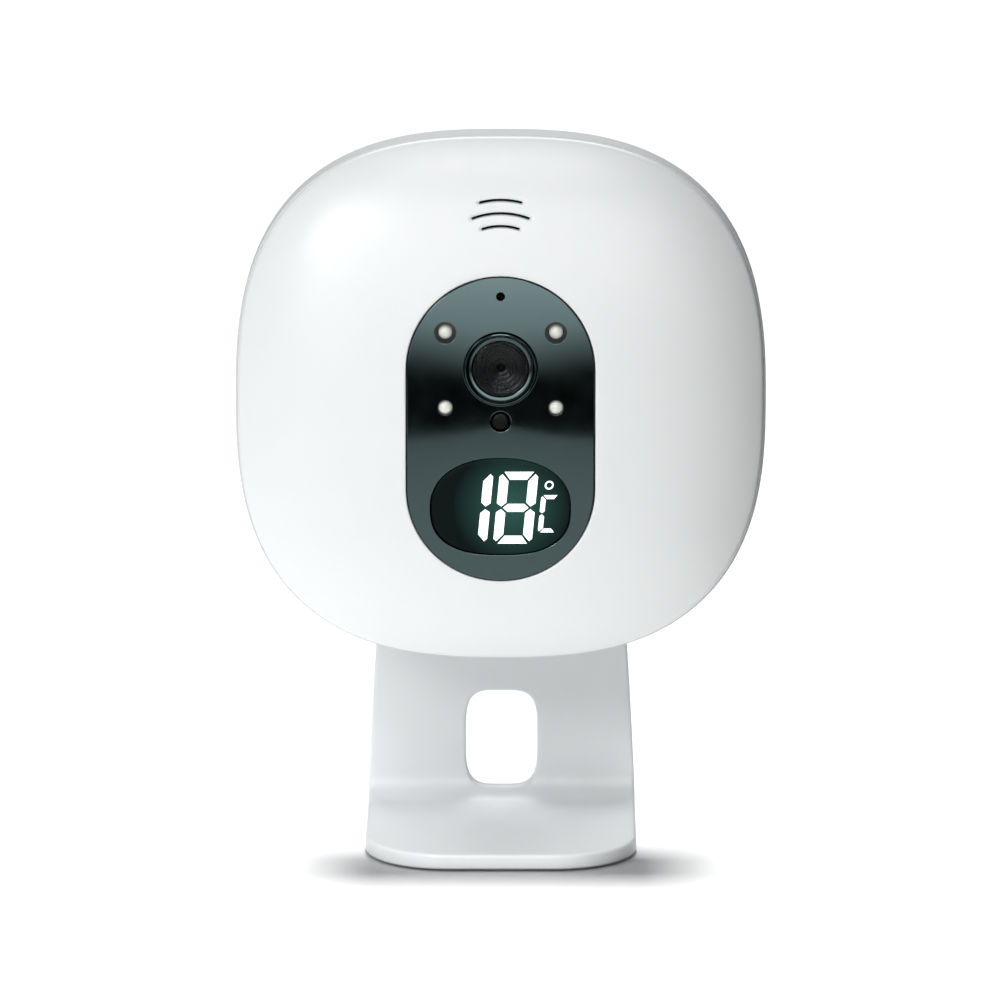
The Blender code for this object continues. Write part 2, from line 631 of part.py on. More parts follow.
def make_main_board():
    board = on_head(cylinder("main_board", 45.0 * MM, *MAIN_BOARD, finish=BOARD, sides=40))
    for i, up in enumerate(BOARD_SCREW_UPS):
        hole = cylinder(f"main_board_hole_{i}", 1.7 * MM, -20 * MM, -10 * MM, (0, up), helper=True, sides=12)
        cut(board, on_head(hole))
        screw = [(0, 1.5), (1.6, 1.4), (2.3, 0.6), (2.3, 0.0), (1.1, 0.0), (1.1, -7.5), (0, -8.0)]
        made = turned(f"board_screw_{i + 1}", [(r * MM, f * MM) for r, f in screw], STEEL, steps=12)
        on_head(made, (0, up, MAIN_BOARD[1] + GAP))
    behind, ahead = MAIN_BOARD[0] - GAP, MAIN_BOARD[1] + GAP
    on_head(box("shield_can", (22 * MM, 16 * MM, 2.6 * MM), (0, 18 * MM, behind - 1.3 * MM), STEEL))
    on_head(box("processor", (13 * MM, 13 * MM, 1.4 * MM), (12 * MM, -14 * MM, ahead + 0.7 * MM), BLACK))
    for name, up, barrel, bore in (("dc_jack", UPPER_ROW, 3.9, 2.8), ("sensor_jack", LOWER_ROW, 3.2, 1.8)):
        make_jack(name, up, barrel * MM, bore * MM, behind)
    for name, up in (("power_switch", UPPER_ROW), ("pair_switch", LOWER_ROW)):
        can_height, plunger_height = 2.4 * MM, 3.0 * MM
        centre = (SIDE_X, up, behind - can_height / 2)
        switch = on_head(box(name, (6 * MM, 6 * MM, can_height), centre, BLACK))
        low, high = behind - plunger_height, behind - 1.5 * MM
        join(switch, on_head(cylinder(name + "_plunger", 1.7 * MM, low, high, (SIDE_X, up), helper=True, sides=16)))
    on_head(box("antenna", (34 * MM, 0.8 * MM, 10 * MM), (0, 50 * MM, -10 * MM), BOARD))
    bead = cylinder("temperature_sensor", 1.4 * MM, -2.5 * MM, 2.5 * MM, finish=BLACK, sides=14)
    bead.data.transform(Matrix.Rotation(math.pi / 2, 4, "X"))
    on_head(bead, (12 * MM, -49.0 * MM, -14.8 * MM))


def make_jack(name, up, barrel, bore, behind):
    """A socket on the back of the board, whose round nose stands in a hole of the housing."""
    shoulder, mouth = -20.8 * MM, -24.2 * MM
    centre = (-SIDE_X, up, (shoulder + behind) / 2)
    jack = on_head(box(name, (9 * MM, 10 * MM, behind - shoulder), centre, BLACK))
    join(jack, on_head(cylinder(name + "_nose", barrel, mouth, -18 * MM, (-SIDE_X, up), helper=True)))
    cut(jack, on_head(cylinder(name + "_bore", bore, mouth - 1 * MM, -17 * MM, (-SIDE_X, up), helper=True)))
    if name == "dc_jack":
        join(jack, on_head(cylinder(name + "_pin", 0.95 * MM, -23.6 * MM, -16.5 * MM, (-SIDE_X, up), helper=True, sides=12)))


def make_buttons():
    for name, up, radius in (("power_button", UPPER_ROW, 4.1), ("pair_button", LOWER_ROW, 3.1)):
        top = back(plan_radius(SIDE_X, up) / HEAD_HALF) + 0.9 * MM
        flange_top, flange_under, stem_end = 21.3 * MM, 20.6 * MM, 20.1 * MM
        r = radius * MM
        # Turned about front, so the profile starts at the stem and ends at the pressed face.
        profile = [(0, -stem_end), (1.8 * MM, -stem_end), (1.8 * MM, -flange_under), (r + 1.2 * MM, -flange_under)]
        profile += [(r + 1.2 * MM, -flange_top), (r, -flange_top), (r, 0.5 * MM - top), (r - 0.6 * MM, -top)]
        profile.append((0, -top - 0.15 * MM))
        button = turned(name, profile, PALE, steps=24)
        on_head(button, (SIDE_X, up, 0))


def make_housing_screws():
    screw = [(0, -0.5), (1.0, -0.7), (1.45, -1.6), (1.45, -10.0), (2.9, -10.0), (2.9, -11.2), (2.0, -12.0), (0, -12.2)]
    for i, (x, up) in enumerate(four_corners(SCREW_AT)):
        made = turned(f"housing_screw_{i + 1}", [(r * MM, f * MM) for r, f in screw], STEEL, steps=12)
        on_head(made, (x, up, 0))


# ---------------------------------------------------------------- hinge


def make_hinge():
    ear_inner = BARREL_HALF + WASHER_THICK + 2 * 0.22 * MM
    seat = ear_inner + EAR_THICK - 3.2 * MM + 0.25 * MM
    head_thick, cap_start = 1.8 * MM, seat + 2.1 * MM
    bolt = across("hinge_bolt", BOLT_RADIUS, -seat - 1.5 * MM, seat + 0.5 * MM, STEEL, False, 20)
    join(bolt, across("bolt_head", 3.8 * MM, seat, seat + head_thick))
    nut = across("hinge_nut", 3.9 * MM, -seat, -seat - head_thick, STEEL, False, 6)
    cut(nut, across("nut_bore", BOLT_RADIUS + 0.15 * MM, -20 * MM, -40 * MM, sides=20))
    for name, side in (("left", -1), ("right", 1)):
        start = side * (BARREL_HALF + 0.22 * MM)
        washer = across(f"friction_washer_{name}", 5.5 * MM, start, start + side * WASHER_THICK, FOAM, False)
        cut(washer, across(f"washer_hole_{name}", BOLT_RADIUS + 0.25 * MM, 0, side * 40 * MM, sides=20))
        across(f"hinge_cap_{name}", 4.05 * MM, side * cap_start, side * (cap_start + 1.0 * MM), PALE, False)


# ---------------------------------------------------------------- stand


def strap_half_width(height):
    """Half the strap's width at a height above the foot's top."""
    rise = max(height - 5 * MM, 0.0)
    return (FOOT_WIDTH - TAPER_SLOPE * rise - TAPER_CURVE * rise**2) / 2


def strap_path():
    """(y, z, half width) along the strap's upper face, from the foot's front edge to the barrel."""
    top = FOOT_LIFT + STRAP_THICK
    half = FOOT_WIDTH / 2
    path = []
    for x, y in arc((half - FOOT_CORNER, FOOT_CORNER), FOOT_CORNER, -90, 0, 8):
        path.append((FOOT_FRONT + y, top, x))
    bend = arc((UPRIGHT_Y - BEND_RADIUS, top + BEND_RADIUS), BEND_RADIUS, -90, 0, 6)
    path += [(y, z, strap_half_width(z)) for y, z in bend]
    start = top + BEND_RADIUS
    count = 8
    for i in range(1, count + 1):
        z = start + (HINGE_Z - start) * i / count
        path.append((UPRIGHT_Y, z, strap_half_width(z)))
    return path


def make_stand():
    strip = bmesh.new()
    rows = [[strip.verts.new((side * w, y, z)) for side in (-1, 1)] for y, z, w in strap_path()]
    for (a, b), (c, d) in zip(rows, rows[1:]):
        strip.faces.new((a, b, d, c))
    mesh = bpy.data.meshes.new("stand")
    strip.to_mesh(mesh)
    strip.free()
    stand = add("stand", mesh, PALE)
    shell = stand.modifiers.new("thickness", "SOLIDIFY")
    shell.thickness = STRAP_THICK
    shell.offset = -1
    shell.use_even_offset = True
    edges = stand.modifiers.new("edges", "BEVEL")
    edges.width = 0.6 * MM
    edges.segments = 1
    edges.limit_method = "ANGLE"
    edges.angle_limit = math.radians(50)

    def hinge_bar(name, radius, half, sides=28):
        bar = cylinder(name, radius, -half, half, helper=True, sides=sides)
        bar.data.transform(TO_X)
        bar.location = (0, HINGE_Y, HINGE_Z)
        return bar

    join(stand, hinge_bar("barrel", BARREL_RADIUS, BARREL_HALF))
    cut(stand, hinge_bar("barrel_bore", BOLT_RADIUS + 0.2 * MM, 40 * MM, 20))
    hole = superellipse(CABLE_HOLE_WIDTH / 2, CABLE_HOLE_HEIGHT / 2, 4, 28)
    cutter = prism("cable_hole", hole, -20 * MM, 20 * MM, helper=True)
    cutter.rotation_euler = FACING.to_euler()
    cutter.location = (0, UPRIGHT_Y, CABLE_HOLE_UP)
    cut(stand, cutter)
    foot_radius = 4.0 * MM
    for i, (x, y) in enumerate(((-20, 9.5), (20, 9.5), (-20, 42.5), (20, 42.5))):
        at = (x * MM, FOOT_FRONT + y * MM)
        pocket = cylinder(f"foot_pocket_{i}", foot_radius + GAP, -1 * MM, 1.4 * MM, at, helper=True)
        cut(stand, pocket)
        cylinder(f"foot_pad_{i + 1}", foot_radius, 0, 1.1 * MM, at, RUBBER)


make_front_cover()
make_rear_housing()
make_window()
make_lens()
make_front_electronics()
make_display()
make_speaker()
make_main_board()
make_buttons()
make_housing_screws()
make_hinge()
make_stand()
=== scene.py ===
# %% [markdown]
# # A baby monitor camera
# The camera is a squared round head on a bent strap. The head's front is one white crown with a dark window let
# into it, and behind the window sit a lens, four infrared lamps, a light sensor and a lit display. The packed
# model gives the places and the joints. This lesson gives each visible piece its finished shape and its surface.

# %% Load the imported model
import json
import math

import bmesh
import bpy
import numpy as np
from mathutils import Matrix, Vector
from mathutils.geometry import delaunay_2d_cdt


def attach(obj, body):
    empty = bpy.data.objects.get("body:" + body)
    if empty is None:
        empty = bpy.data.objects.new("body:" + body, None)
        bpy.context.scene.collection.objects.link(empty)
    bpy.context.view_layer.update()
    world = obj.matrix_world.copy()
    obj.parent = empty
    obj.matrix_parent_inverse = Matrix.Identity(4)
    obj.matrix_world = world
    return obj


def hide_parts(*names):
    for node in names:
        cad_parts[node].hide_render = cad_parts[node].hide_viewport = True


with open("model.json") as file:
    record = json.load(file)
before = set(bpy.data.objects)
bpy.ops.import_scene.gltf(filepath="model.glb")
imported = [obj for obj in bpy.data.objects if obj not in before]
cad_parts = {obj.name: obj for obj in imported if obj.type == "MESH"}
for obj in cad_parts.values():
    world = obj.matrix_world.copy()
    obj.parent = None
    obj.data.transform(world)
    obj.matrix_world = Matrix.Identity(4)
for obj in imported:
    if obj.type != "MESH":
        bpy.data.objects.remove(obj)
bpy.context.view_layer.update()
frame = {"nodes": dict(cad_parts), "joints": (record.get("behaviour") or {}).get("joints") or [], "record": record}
NODES = frame["nodes"]
MM = 0.001

# %% [markdown]
# ## The camera that looks at it
# A product looks best from far away through a long lens, which keeps its sides nearly parallel. Here the lens
# stands two metres off and twelve degrees above the middle of the object. It is made first, so that every look at
# a half finished model is already the right one.

# %% Camera
VIEW_DISTANCE = 2.0
VIEW_ELEVATION = math.radians(12.0)
VIEW_AZIMUTH = math.radians(0.25)
VIEW_WIDTH = 0.2185  # how much the frame takes in at the object
VIEW_TARGET = Vector((-0.00024, 0, 0.0766))

camera_data = bpy.data.cameras.new("studio_camera")
camera_data.sensor_width = 36.0
camera_data.lens = camera_data.sensor_width * VIEW_DISTANCE / VIEW_WIDTH
camera = bpy.data.objects.new("studio_camera", camera_data)
bpy.context.scene.collection.objects.link(camera)
away = Vector(
    (
        math.sin(VIEW_AZIMUTH) * math.cos(VIEW_ELEVATION),
        -math.cos(VIEW_AZIMUTH) * math.cos(VIEW_ELEVATION),
        math.sin(VIEW_ELEVATION),
    )
)
camera.location = VIEW_TARGET + away * VIEW_DISTANCE
camera.rotation_euler = away.to_track_quat("Z", "Y").to_euler()
bpy.context.scene.camera = camera
print("lens", round(camera_data.lens, 1), "mm")

# %% [markdown]
# ## Floor and light
# The room looks brighter than it shines, so that the paper reads as plain white while the white plastic keeps its
# modelling. Soft boxes light the object from in front, from above and from behind, and one more lamp is for the
# floor alone. A tall card, dark at its foot and bright above, stands where only shiny things can see it: glossy
# black plastic has no colour of its own, and what it shows is whatever stands in front of it.


# %% Helpers for colour and for nodes
def tint(code):
    """An sRGB hex code as the linear colour that shaders use."""
    channels = [int(code[i : i + 2], 16) / 255 for i in (0, 2, 4)]
    linear = [c / 12.92 if c <= 0.04045 else ((c + 0.055) / 1.055) ** 2.4 for c in channels]
    return (*linear, 1.0)


def node(tree, kind, inputs=None, **settings):
    """Adds a node. An input is given a value, or the output socket that feeds it."""
    made = tree.nodes.new(kind)
    for name, value in settings.items():
        setattr(made, name, value)
    for name, value in (inputs or {}).items():
        if isinstance(value, bpy.types.NodeSocket):
            tree.links.new(value, made.inputs[name])
        else:
            made.inputs[name].default_value = value
    return made


# %% World
world = bpy.data.worlds.new("white_room")
bpy.context.scene.world = world
world.use_nodes = True
tree = world.node_tree
tree.nodes.clear()
ROOM_SHINES, ROOM_LOOKS = 0.34, 1.1
seen = node(tree, "ShaderNodeLightPath").outputs["Is Camera Ray"]
strength = node(tree, "ShaderNodeMapRange", {"Value": seen, "To Min": ROOM_SHINES, "To Max": ROOM_LOOKS})
room = node(tree, "ShaderNodeBackground", {"Color": tint("fcfeff"), "Strength": strength.outputs["Result"]})
node(tree, "ShaderNodeOutputWorld", {"Surface": room.outputs["Background"]})
bpy.context.scene.view_settings.view_transform = "Standard"

# %% [markdown]
# A card is a plain rectangle that glows. Its glow may fade from its lower edge to its upper one, as the light on a
# studio wall does. None of the cards is seen by the camera, and none casts a shadow.


# %% Cards and lamps
def rectangle(name, corners):
    mesh = bpy.data.meshes.new(name)
    mesh.from_pydata(corners, [], [(0, 1, 2, 3)])
    obj = bpy.data.objects.new(name, mesh)
    bpy.context.scene.collection.objects.link(obj)
    return obj


BLACK = ((0.0, 0.0), (1.0, 0.0))


def card(name, corners, stops=BLACK, high=1.0):
    """A glowing card. stops are (share of the way from the floor to the height high, strength)."""
    obj = rectangle(name, corners)
    made = bpy.data.materials.new(name)
    made.use_nodes = True
    tree = made.node_tree
    tree.nodes.clear()
    place = node(tree, "ShaderNodeNewGeometry").outputs["Position"]
    height = node(tree, "ShaderNodeSeparateXYZ", {"Vector": place}).outputs["Z"]
    share = node(tree, "ShaderNodeMapRange", {"Value": height, "From Min": 0.0, "From Max": high})
    ramp = node(tree, "ShaderNodeValToRGB", {"Fac": share.outputs["Result"]})
    strongest = max(strength for _, strength in stops)
    while len(ramp.color_ramp.elements) < len(stops):
        ramp.color_ramp.elements.new(0.5)
    for element, (at, strength) in zip(ramp.color_ramp.elements, stops):
        element.position = at
        element.color = (*[strength / max(strongest, 1e-6)] * 3, 1)
    glow = node(tree, "ShaderNodeEmission", {"Color": ramp.outputs["Color"], "Strength": strongest})
    node(tree, "ShaderNodeOutputMaterial", {"Surface": glow.outputs["Emission"]})
    obj.data.materials.append(made)
    obj.visible_camera = obj.visible_diffuse = obj.visible_shadow = False
    obj.visible_transmission = False
    return obj


def softbox(name, place, size, power, aim=(0, 0, 0.08)):
    data = bpy.data.lights.new(name, "AREA")
    data.shape = "RECTANGLE"
    data.size, data.size_y = size
    data.energy = power
    obj = bpy.data.objects.new(name, data)
    bpy.context.scene.collection.objects.link(obj)
    obj.location = place
    obj.rotation_euler = (Vector(place) - Vector(aim)).to_track_quat("Z", "Y").to_euler()
    return obj


def lying(half_x, front, back, z):
    """The corners of a lying rectangle."""
    return [(-half_x, front, z), (half_x, front, z), (half_x, back, z), (-half_x, back, z)]


CARD_Y, CARD_HALF, CARD_HIGH = -1.30, 0.9, 0.9
FLOOR_HALF, FLOOR_FRONT, FLOOR_BACK = 0.6, -0.72, 0.45
card(
    "wall_card",
    [(x * CARD_HALF, CARD_Y, z * CARD_HIGH) for x, z in ((-1, 0), (1, 0), (1, 1), (-1, 1))],
    ((0.0, 0.0), (0.05, 0.75), (0.12, 2.0), (0.26, 2.9), (1.0, 2.9)),
    CARD_HIGH,
)
card("black_card", lying(1.5, CARD_Y - 0.4, FLOOR_FRONT, 0.001))
floor = rectangle("floor", lying(FLOOR_HALF, FLOOR_FRONT, FLOOR_BACK, 0))


def linked(name, *objects, state="INCLUDE"):
    """A collection that ties a lamp to these objects alone, or to everything but them."""
    made = bpy.data.collections.new(name)
    for obj in objects:
        made.objects.link(obj)
    for member in made.collection_objects:
        member.light_linking.link_state = state
    return made


floor_alone, all_but_floor = linked("floor_alone", floor), linked("all_but_floor", floor, state="EXCLUDE")
FLOOR_LIGHT = Vector((0.0, 0.16, 1.2))
for name, place, size, power, lit in (
    ("key_light", (-0.55, -1.0, 0.6), (0.25, 0.25), 3.4, all_but_floor),
    ("front_light", (0.0, -1.0, 1.3), (0.7, 0.5), 6.1, all_but_floor),
    ("back_light", (0.0, 0.7, 0.9), (0.8, 0.5), 4.6, all_but_floor),
    ("floor_light", FLOOR_LIGHT, (0.007, 0.006), 14.5, floor_alone),
):
    softbox(name, place, size, power).light_linking.receiver_collection = lit

# A black board close on the right keeps the room's light off that side, and models the curve of the cover.
FLAG_X, FLAG_FRONT, FLAG_BACK, FLAG_LOW, FLAG_HIGH = 0.12, -0.3, 0.08, 0.002, 0.22
flag_edge = ((FLAG_FRONT, FLAG_LOW), (FLAG_BACK, FLAG_LOW), (FLAG_BACK, FLAG_HIGH), (FLAG_FRONT, FLAG_HIGH))
flag = card("right_flag", [(FLAG_X, y, z) for y, z in flag_edge])
flag.visible_diffuse = True

paper = bpy.data.materials.new("studio_paper")
paper.use_nodes = True
tree = paper.node_tree
place = node(tree, "ShaderNodeNewGeometry").outputs["Position"]
fibres = node(tree, "ShaderNodeTexNoise", {"Vector": place, "Scale": 400.0})
shade = node(tree, "ShaderNodeMix", {"Factor": fibres.outputs["Fac"]}, data_type="RGBA")
shade.inputs["A"].default_value, shade.inputs["B"].default_value = tint("fcfcfc"), tint("fefefe")
shader = tree.nodes["Principled BSDF"]
shader.inputs["Roughness"].default_value = 0.9
shader.inputs["Specular IOR Level"].default_value = 0.1
tree.links.new(shade.outputs["Result"], shader.inputs["Base Color"])
floor.data.materials.append(paper)

# %% [markdown]
# ## Finishes
# Each finish starts from what the real stuff is. A pattern is sized in real millimetres: `grain(2)` gives the
# scale at which a noise has features of about two millimetres.


# %% A finish, and what most of them share
def grain(size_mm):
    """The texture scale, for coordinates in metres, that gives features of this size."""
    return 1.0 / (size_mm * MM)


class Finish:
    """A material with one Principled shader, whose patterns are read in the object's own metres."""

    def __init__(self, name, **values):
        self.material = bpy.data.materials.new(name)
        self.material.use_nodes = True
        self.tree = self.material.node_tree
        self.tree.nodes.clear()
        self.shader = self.add("ShaderNodeBsdfPrincipled")
        self.add("ShaderNodeOutputMaterial", {"Surface": self.shader.outputs["BSDF"]})
        self.place = self.add("ShaderNodeTexCoord").outputs["Object"]
        for socket, value in values.items():
            self.shader.inputs[socket.replace("_", " ")].default_value = value

    def add(self, kind, inputs=None, **settings):
        return node(self.tree, kind, inputs, **settings)

    def noise(self, size_mm, detail=3.0):
        settings = {"Vector": self.place, "Scale": grain(size_mm), "Detail": detail}
        return self.add("ShaderNodeTexNoise", settings).outputs["Fac"]

    def between(self, factor, low, high, socket):
        """Feeds a shader socket with a number that the factor moves between low and high."""
        span = {"Value": factor, "From Min": 0.3, "From Max": 0.7, "To Min": low, "To Max": high}
        self.feed(self.add("ShaderNodeMapRange", span).outputs["Result"], socket)

    def mix(self, factor, first, second):
        made = self.add("ShaderNodeMix", {"Factor": factor}, data_type="RGBA")
        for socket, value in ((made.inputs[6], first), (made.inputs[7], second)):
            if isinstance(value, bpy.types.NodeSocket):
                self.tree.links.new(value, socket)
            else:
                socket.default_value = value
        return made.outputs[2]

    def feed(self, output, socket):
        self.tree.links.new(output, self.shader.inputs[socket])

    def tone(self, size_mm, first, second):
        """Gives the stuff a colour that drifts between two close ones."""
        self.feed(self.mix(self.noise(size_mm), tint(first), tint(second)), "Base Color")

    def bump(self, height, depth_mm, strength=1.0):
        settings = {"Height": height, "Distance": depth_mm * MM, "Strength": strength}
        self.feed(self.add("ShaderNodeBump", settings).outputs["Normal"], "Normal")


# %% [markdown]
# The cover is white ABS, injection moulded against a polished steel tool, so it is bright with a soft wide gloss.
# The housing and the stand are pale grey ABS from a spark-eroded tool, whose fine pits scatter the gloss.
# The housing's tone is darker than the stand's by painted shade, which stands for the shade on its top and sides.

# %% Moulded shells
white_abs = Finish("polished_white_abs", IOR=1.54, Roughness=0.32)
white_abs.tone(14.0, "f6f8f8", "f3f5f5")
white_abs.between(white_abs.noise(3.0), 0.30, 0.36, "Roughness")
white_abs.bump(white_abs.noise(1.2), 0.004, 0.4)


def spark_textured(name, first, second):
    """ABS from a spark-eroded tool. Its pits are 0.1 mm across, and are drawn at 0.35 mm to show at all."""
    made = Finish(name, IOR=1.54, Roughness=0.45)
    made.tone(16.0, first, second)
    made.between(made.noise(2.0), 0.40, 0.50, "Roughness")
    made.bump(made.noise(0.35, 1.0), 0.012, 0.5)
    return made


# The housing's darker tone is painted shade, laid over the pale grey that it shares with the stand.
grey_abs_with_painted_shade = spark_textured("spark_textured_grey_abs", "dcdfe0", "d7dbdc")
stand_abs = spark_textured("spark_textured_white_abs", "eceeef", "e8ebec")

# %% [markdown]
# The window is a smoked acrylic with a hard anti-glare coating, which gives its reflections their cool cast. The
# plate over the display is the same acrylic without the coating, lit from behind round the digits.

# %% Window and display
WINDOW_TINT = "d5fafc"
window_acrylic = Finish("coated_smoked_acrylic", IOR=1.85, Roughness=0.07, Specular_Tint=tint(WINDOW_TINT))
window_acrylic.tone(9.0, "030404", "050606")
window_acrylic.between(window_acrylic.noise(5.0), 0.06, 0.085, "Roughness")

ring_acrylic = Finish("polished_black_ring", IOR=1.9, Roughness=0.12, Specular_Tint=tint(WINDOW_TINT))
ring_acrylic.tone(2.0, "060808", "0a0c0d")
ring_acrylic.between(ring_acrylic.noise(1.5), 0.10, 0.15, "Roughness")

# %% [markdown]
# Optics: coated glass in front, then a matt black ridged throat that kills stray light. The lamps are water clear
# epoxy over a pale reflector cup, so they read as small milky domes.

# %% Optics
# The coating takes away nearly all of the glass's own reflection, so its IOR is set far below that of bare glass.
coated_glass = Finish("coated_crown_glass", IOR=1.1, Roughness=0.02, Transmission_Weight=1.0)
coated_glass.tone(4.0, "f4f8f8", "eef6f6")

throat_black = Finish("matt_black_throat", IOR=1.5, Roughness=0.3, Specular_IOR_Level=0.16)
throat_black.tone(1.0, "040505", "070909")
throat_black.between(throat_black.noise(0.8), 0.26, 0.36, "Roughness")

# The faint glow stands for the light that the cup behind the epoxy gathers and sends back.
lamp_epoxy = Finish("water_clear_epoxy", IOR=1.5, Roughness=0.12, Emission_Strength=0.09)
lamp_epoxy.shader.inputs["Emission Color"].default_value = tint("fbfaf2")
lamp_epoxy.tone(0.7, "f4f3ec", "d9dad2")

sensor_resin = Finish("smoked_sensor_resin", IOR=1.5, Roughness=0.3, Specular_IOR_Level=0.1)
sensor_resin.tone(1.5, "040606", "070909")

# %% [markdown]
# Inside and behind: black moulded parts, solder mask over a lattice of copper tracks, plated and turned steel,
# rubber with a dull bloom, open foam, and the amber film of the flat cable.

# %% The plainer stuffs
black_abs = Finish("black_moulded_abs", IOR=1.54, Roughness=0.5)
black_abs.tone(3.0, "17191a", "1f2223")
black_abs.bump(black_abs.noise(0.4, 1.0), 0.01, 0.4)

solder_mask = Finish("green_solder_mask", IOR=1.5, Roughness=0.3)
tracks = solder_mask.add(
    "ShaderNodeTexBrick",
    {"Vector": solder_mask.place, "Scale": grain(4.0), "Mortar Size": 0.06, "Brick Width": 0.9, "Row Height": 0.4},
)
solder_mask.feed(solder_mask.mix(tracks.outputs["Fac"], tint("1c5a38"), tint("2c7a4c")), "Base Color")
solder_mask.bump(tracks.outputs["Fac"], 0.03, 0.6)

turned_steel = Finish("zinc_plated_steel", Metallic=1.0, Roughness=0.28)
turned_steel.tone(1.4, "c9ccce", "b2b6b9")
turned_steel.between(turned_steel.noise(0.6), 0.22, 0.36, "Roughness")

foot_rubber = Finish("moulded_rubber", IOR=1.52, Roughness=0.8)
foot_rubber.tone(1.2, "2b2c2e", "38393b")
foot_rubber.bump(foot_rubber.noise(0.3, 1.0), 0.02, 0.6)

open_foam = Finish("open_cell_foam", Roughness=0.95)
cells = open_foam.add("ShaderNodeTexVoronoi", {"Vector": open_foam.place, "Scale": grain(0.6)})
open_foam.feed(open_foam.mix(cells.outputs["Distance"], tint("15161a"), tint("2d2f34")), "Base Color")
open_foam.bump(cells.outputs["Distance"], 0.2, 0.8)

amber_film = Finish("polyimide_film", IOR=1.7, Roughness=0.3)
lines = amber_film.add("ShaderNodeTexWave", {"Vector": amber_film.place, "Scale": grain(3.2)}, bands_direction="X")
amber_film.feed(amber_film.mix(lines.outputs["Fac"], tint("a4611a"), tint("c98a35")), "Base Color")

FINISHES = {
    "stand_shell": stand_abs,
    "housing_shell": grey_abs_with_painted_shade,
    "cover_shell": white_abs,
    "window_black": window_acrylic,
    "black_plastic": black_abs,
    "smoked_plastic": sensor_resin,
    "clear_glass": coated_glass,
    "clear_resin": lamp_epoxy,
    "circuit_board": solder_mask,
    "steel": turned_steel,
    "rubber": foot_rubber,
    "soft_washer": open_foam,
    "ribbon_film": amber_film,
}
slot_of = {part["node"]: part["material_slot"] for part in frame["record"]["subparts"]}
for name, obj in NODES.items():
    obj.data.materials.clear()
    obj.data.materials.append(FINISHES[slot_of[name]].material)
# The microphone's can takes the dark foam finish: painted shade, so that its port reads dark.
NODES["microphone"].data.materials[0] = open_foam.material
print("finishes", len(FINISHES))

# %% [markdown]
# ## The head's own directions
# Everything on the head is drawn as (x, up, front) about the middle of the head, in the plane of the cover's edge.
# One matrix then leans it back and puts it over the hinge. The hinge's place is read from the model's joint.

# %% Head frame
HINGE = Vector(frame["joints"][0]["pos_m"])
LEAN_BACK = math.radians(2.5)
HINGE_BEHIND, HINGE_BELOW = 40.0 * MM, 19.0 * MM
HEAD = (
    Matrix.Translation(HINGE)
    @ Matrix.Rotation(-LEAN_BACK, 4, "X")
    @ Matrix.Translation((0, -HINGE_BEHIND, HINGE_BELOW))
    @ Matrix.Rotation(math.pi / 2, 4, "X")
)

HEAD_HALF, COVER_HALF, PLAN_POWER = 57.3 * MM, 56.9 * MM, 2.67
DOME_ROUND, DOME_EDGE = 4.5 * MM, 5.5 * MM
SIDE_DEPTH, BACK_DEPTH, BACK_POWER, BACK_PLAN_POWER = 10.0 * MM, 20.0 * MM, 2.2, 2.6


def plan_radius(x, up):
    return (abs(x) ** PLAN_POWER + abs(up) ** PLAN_POWER) ** (1 / PLAN_POWER)


def dome(x, up):
    """How far the crown stands out in front of the cover's edge."""
    share = min(plan_radius(x, up) / COVER_HALF, 1.0)
    return DOME_ROUND * (1 - share**2) + DOME_EDGE * (1 - share**6)


print("crown", round(dome(0, 0) / MM, 1), "mm high; head middle at", [round(v, 4) for v in HEAD.translation])


# %% [markdown]
# ## Outlines
# The pieces are built from outlines: a superellipse for the head, a stadium for the window, an oval for the
# display, and thin bowed slots for the speaker.


# %% Outline functions
def squared_oval(half_width, half_height, upper_power, lower_power, up=0.0, steps=132):
    """An oval whose lower half may be squarer than its upper half."""
    points = []
    for i in range(steps):
        a = 2 * math.pi * i / steps
        c, s = math.cos(a), math.sin(a)
        power = upper_power if s > 0 else lower_power
        size = (abs(c) ** power + abs(s) ** power) ** (-1 / power)
        points.append((half_width * c * size, up + half_height * s * size))
    return points


def superellipse(half, count=240, power=PLAN_POWER, tall=None):
    """A squared circle. tall is half its height, where that isn't half its width."""
    return squared_oval(half, tall or half, power, power, 0.0, count)


def arc(centre, radius, start, end, steps):
    angles = [math.radians(start + (end - start) * i / steps) for i in range(steps + 1)]
    return [(centre[0] + radius * math.cos(a), centre[1] + radius * math.sin(a)) for a in angles]


def line(start, end, steps):
    """Points from start to end, without the two ends."""
    return [tuple(Vector(start).lerp(Vector(end), i / steps)) for i in range(1, steps)]


def circle(radius, centre=(0, 0), steps=48):
    return arc(centre, radius, 0, 360, steps)[:-1]


def stadium(width, height, centre=(0, 0), steps=40, sides=24):
    """An upright or lying stadium, by its proportions."""
    r = min(width, height) / 2
    reach = max(width, height) / 2 - r
    points = arc((0, reach), r, 0, 180, steps) + line((-r, reach), (-r, -reach), sides)
    points += arc((0, -reach), r, 180, 360, steps) + line((r, -reach), (r, reach), sides)
    if width > height:
        points = [(-y, x) for x, y in points]
    return [(x + centre[0], y + centre[1]) for x, y in points]


def bow(chord, rise):
    """The radius of a bow and half its angle in degrees."""
    radius = (chord**2 / 4 + rise**2) / (2 * rise)
    return radius, math.degrees(math.asin(chord / 2 / radius))


def bowed_slot(chord, rise, width, up, steps=36):
    """A thin slot that bows upwards, with round ends."""
    radius, half = bow(chord - width, rise)
    middle, r = (0, up - radius), width / 2
    left, right = (arc(middle, radius, 90 + side * half, 90, 1)[0] for side in (1, -1))
    outline = arc(middle, radius + r, 90 - half, 90 + half, steps)
    outline += arc(left, r, 90 + half, 270 + half, 8)[1:-1]
    outline += arc(middle, radius - r, 90 + half, 90 - half, steps)
    outline += arc(right, r, -90 - half, 90 - half, 8)[1:-1]
    return outline


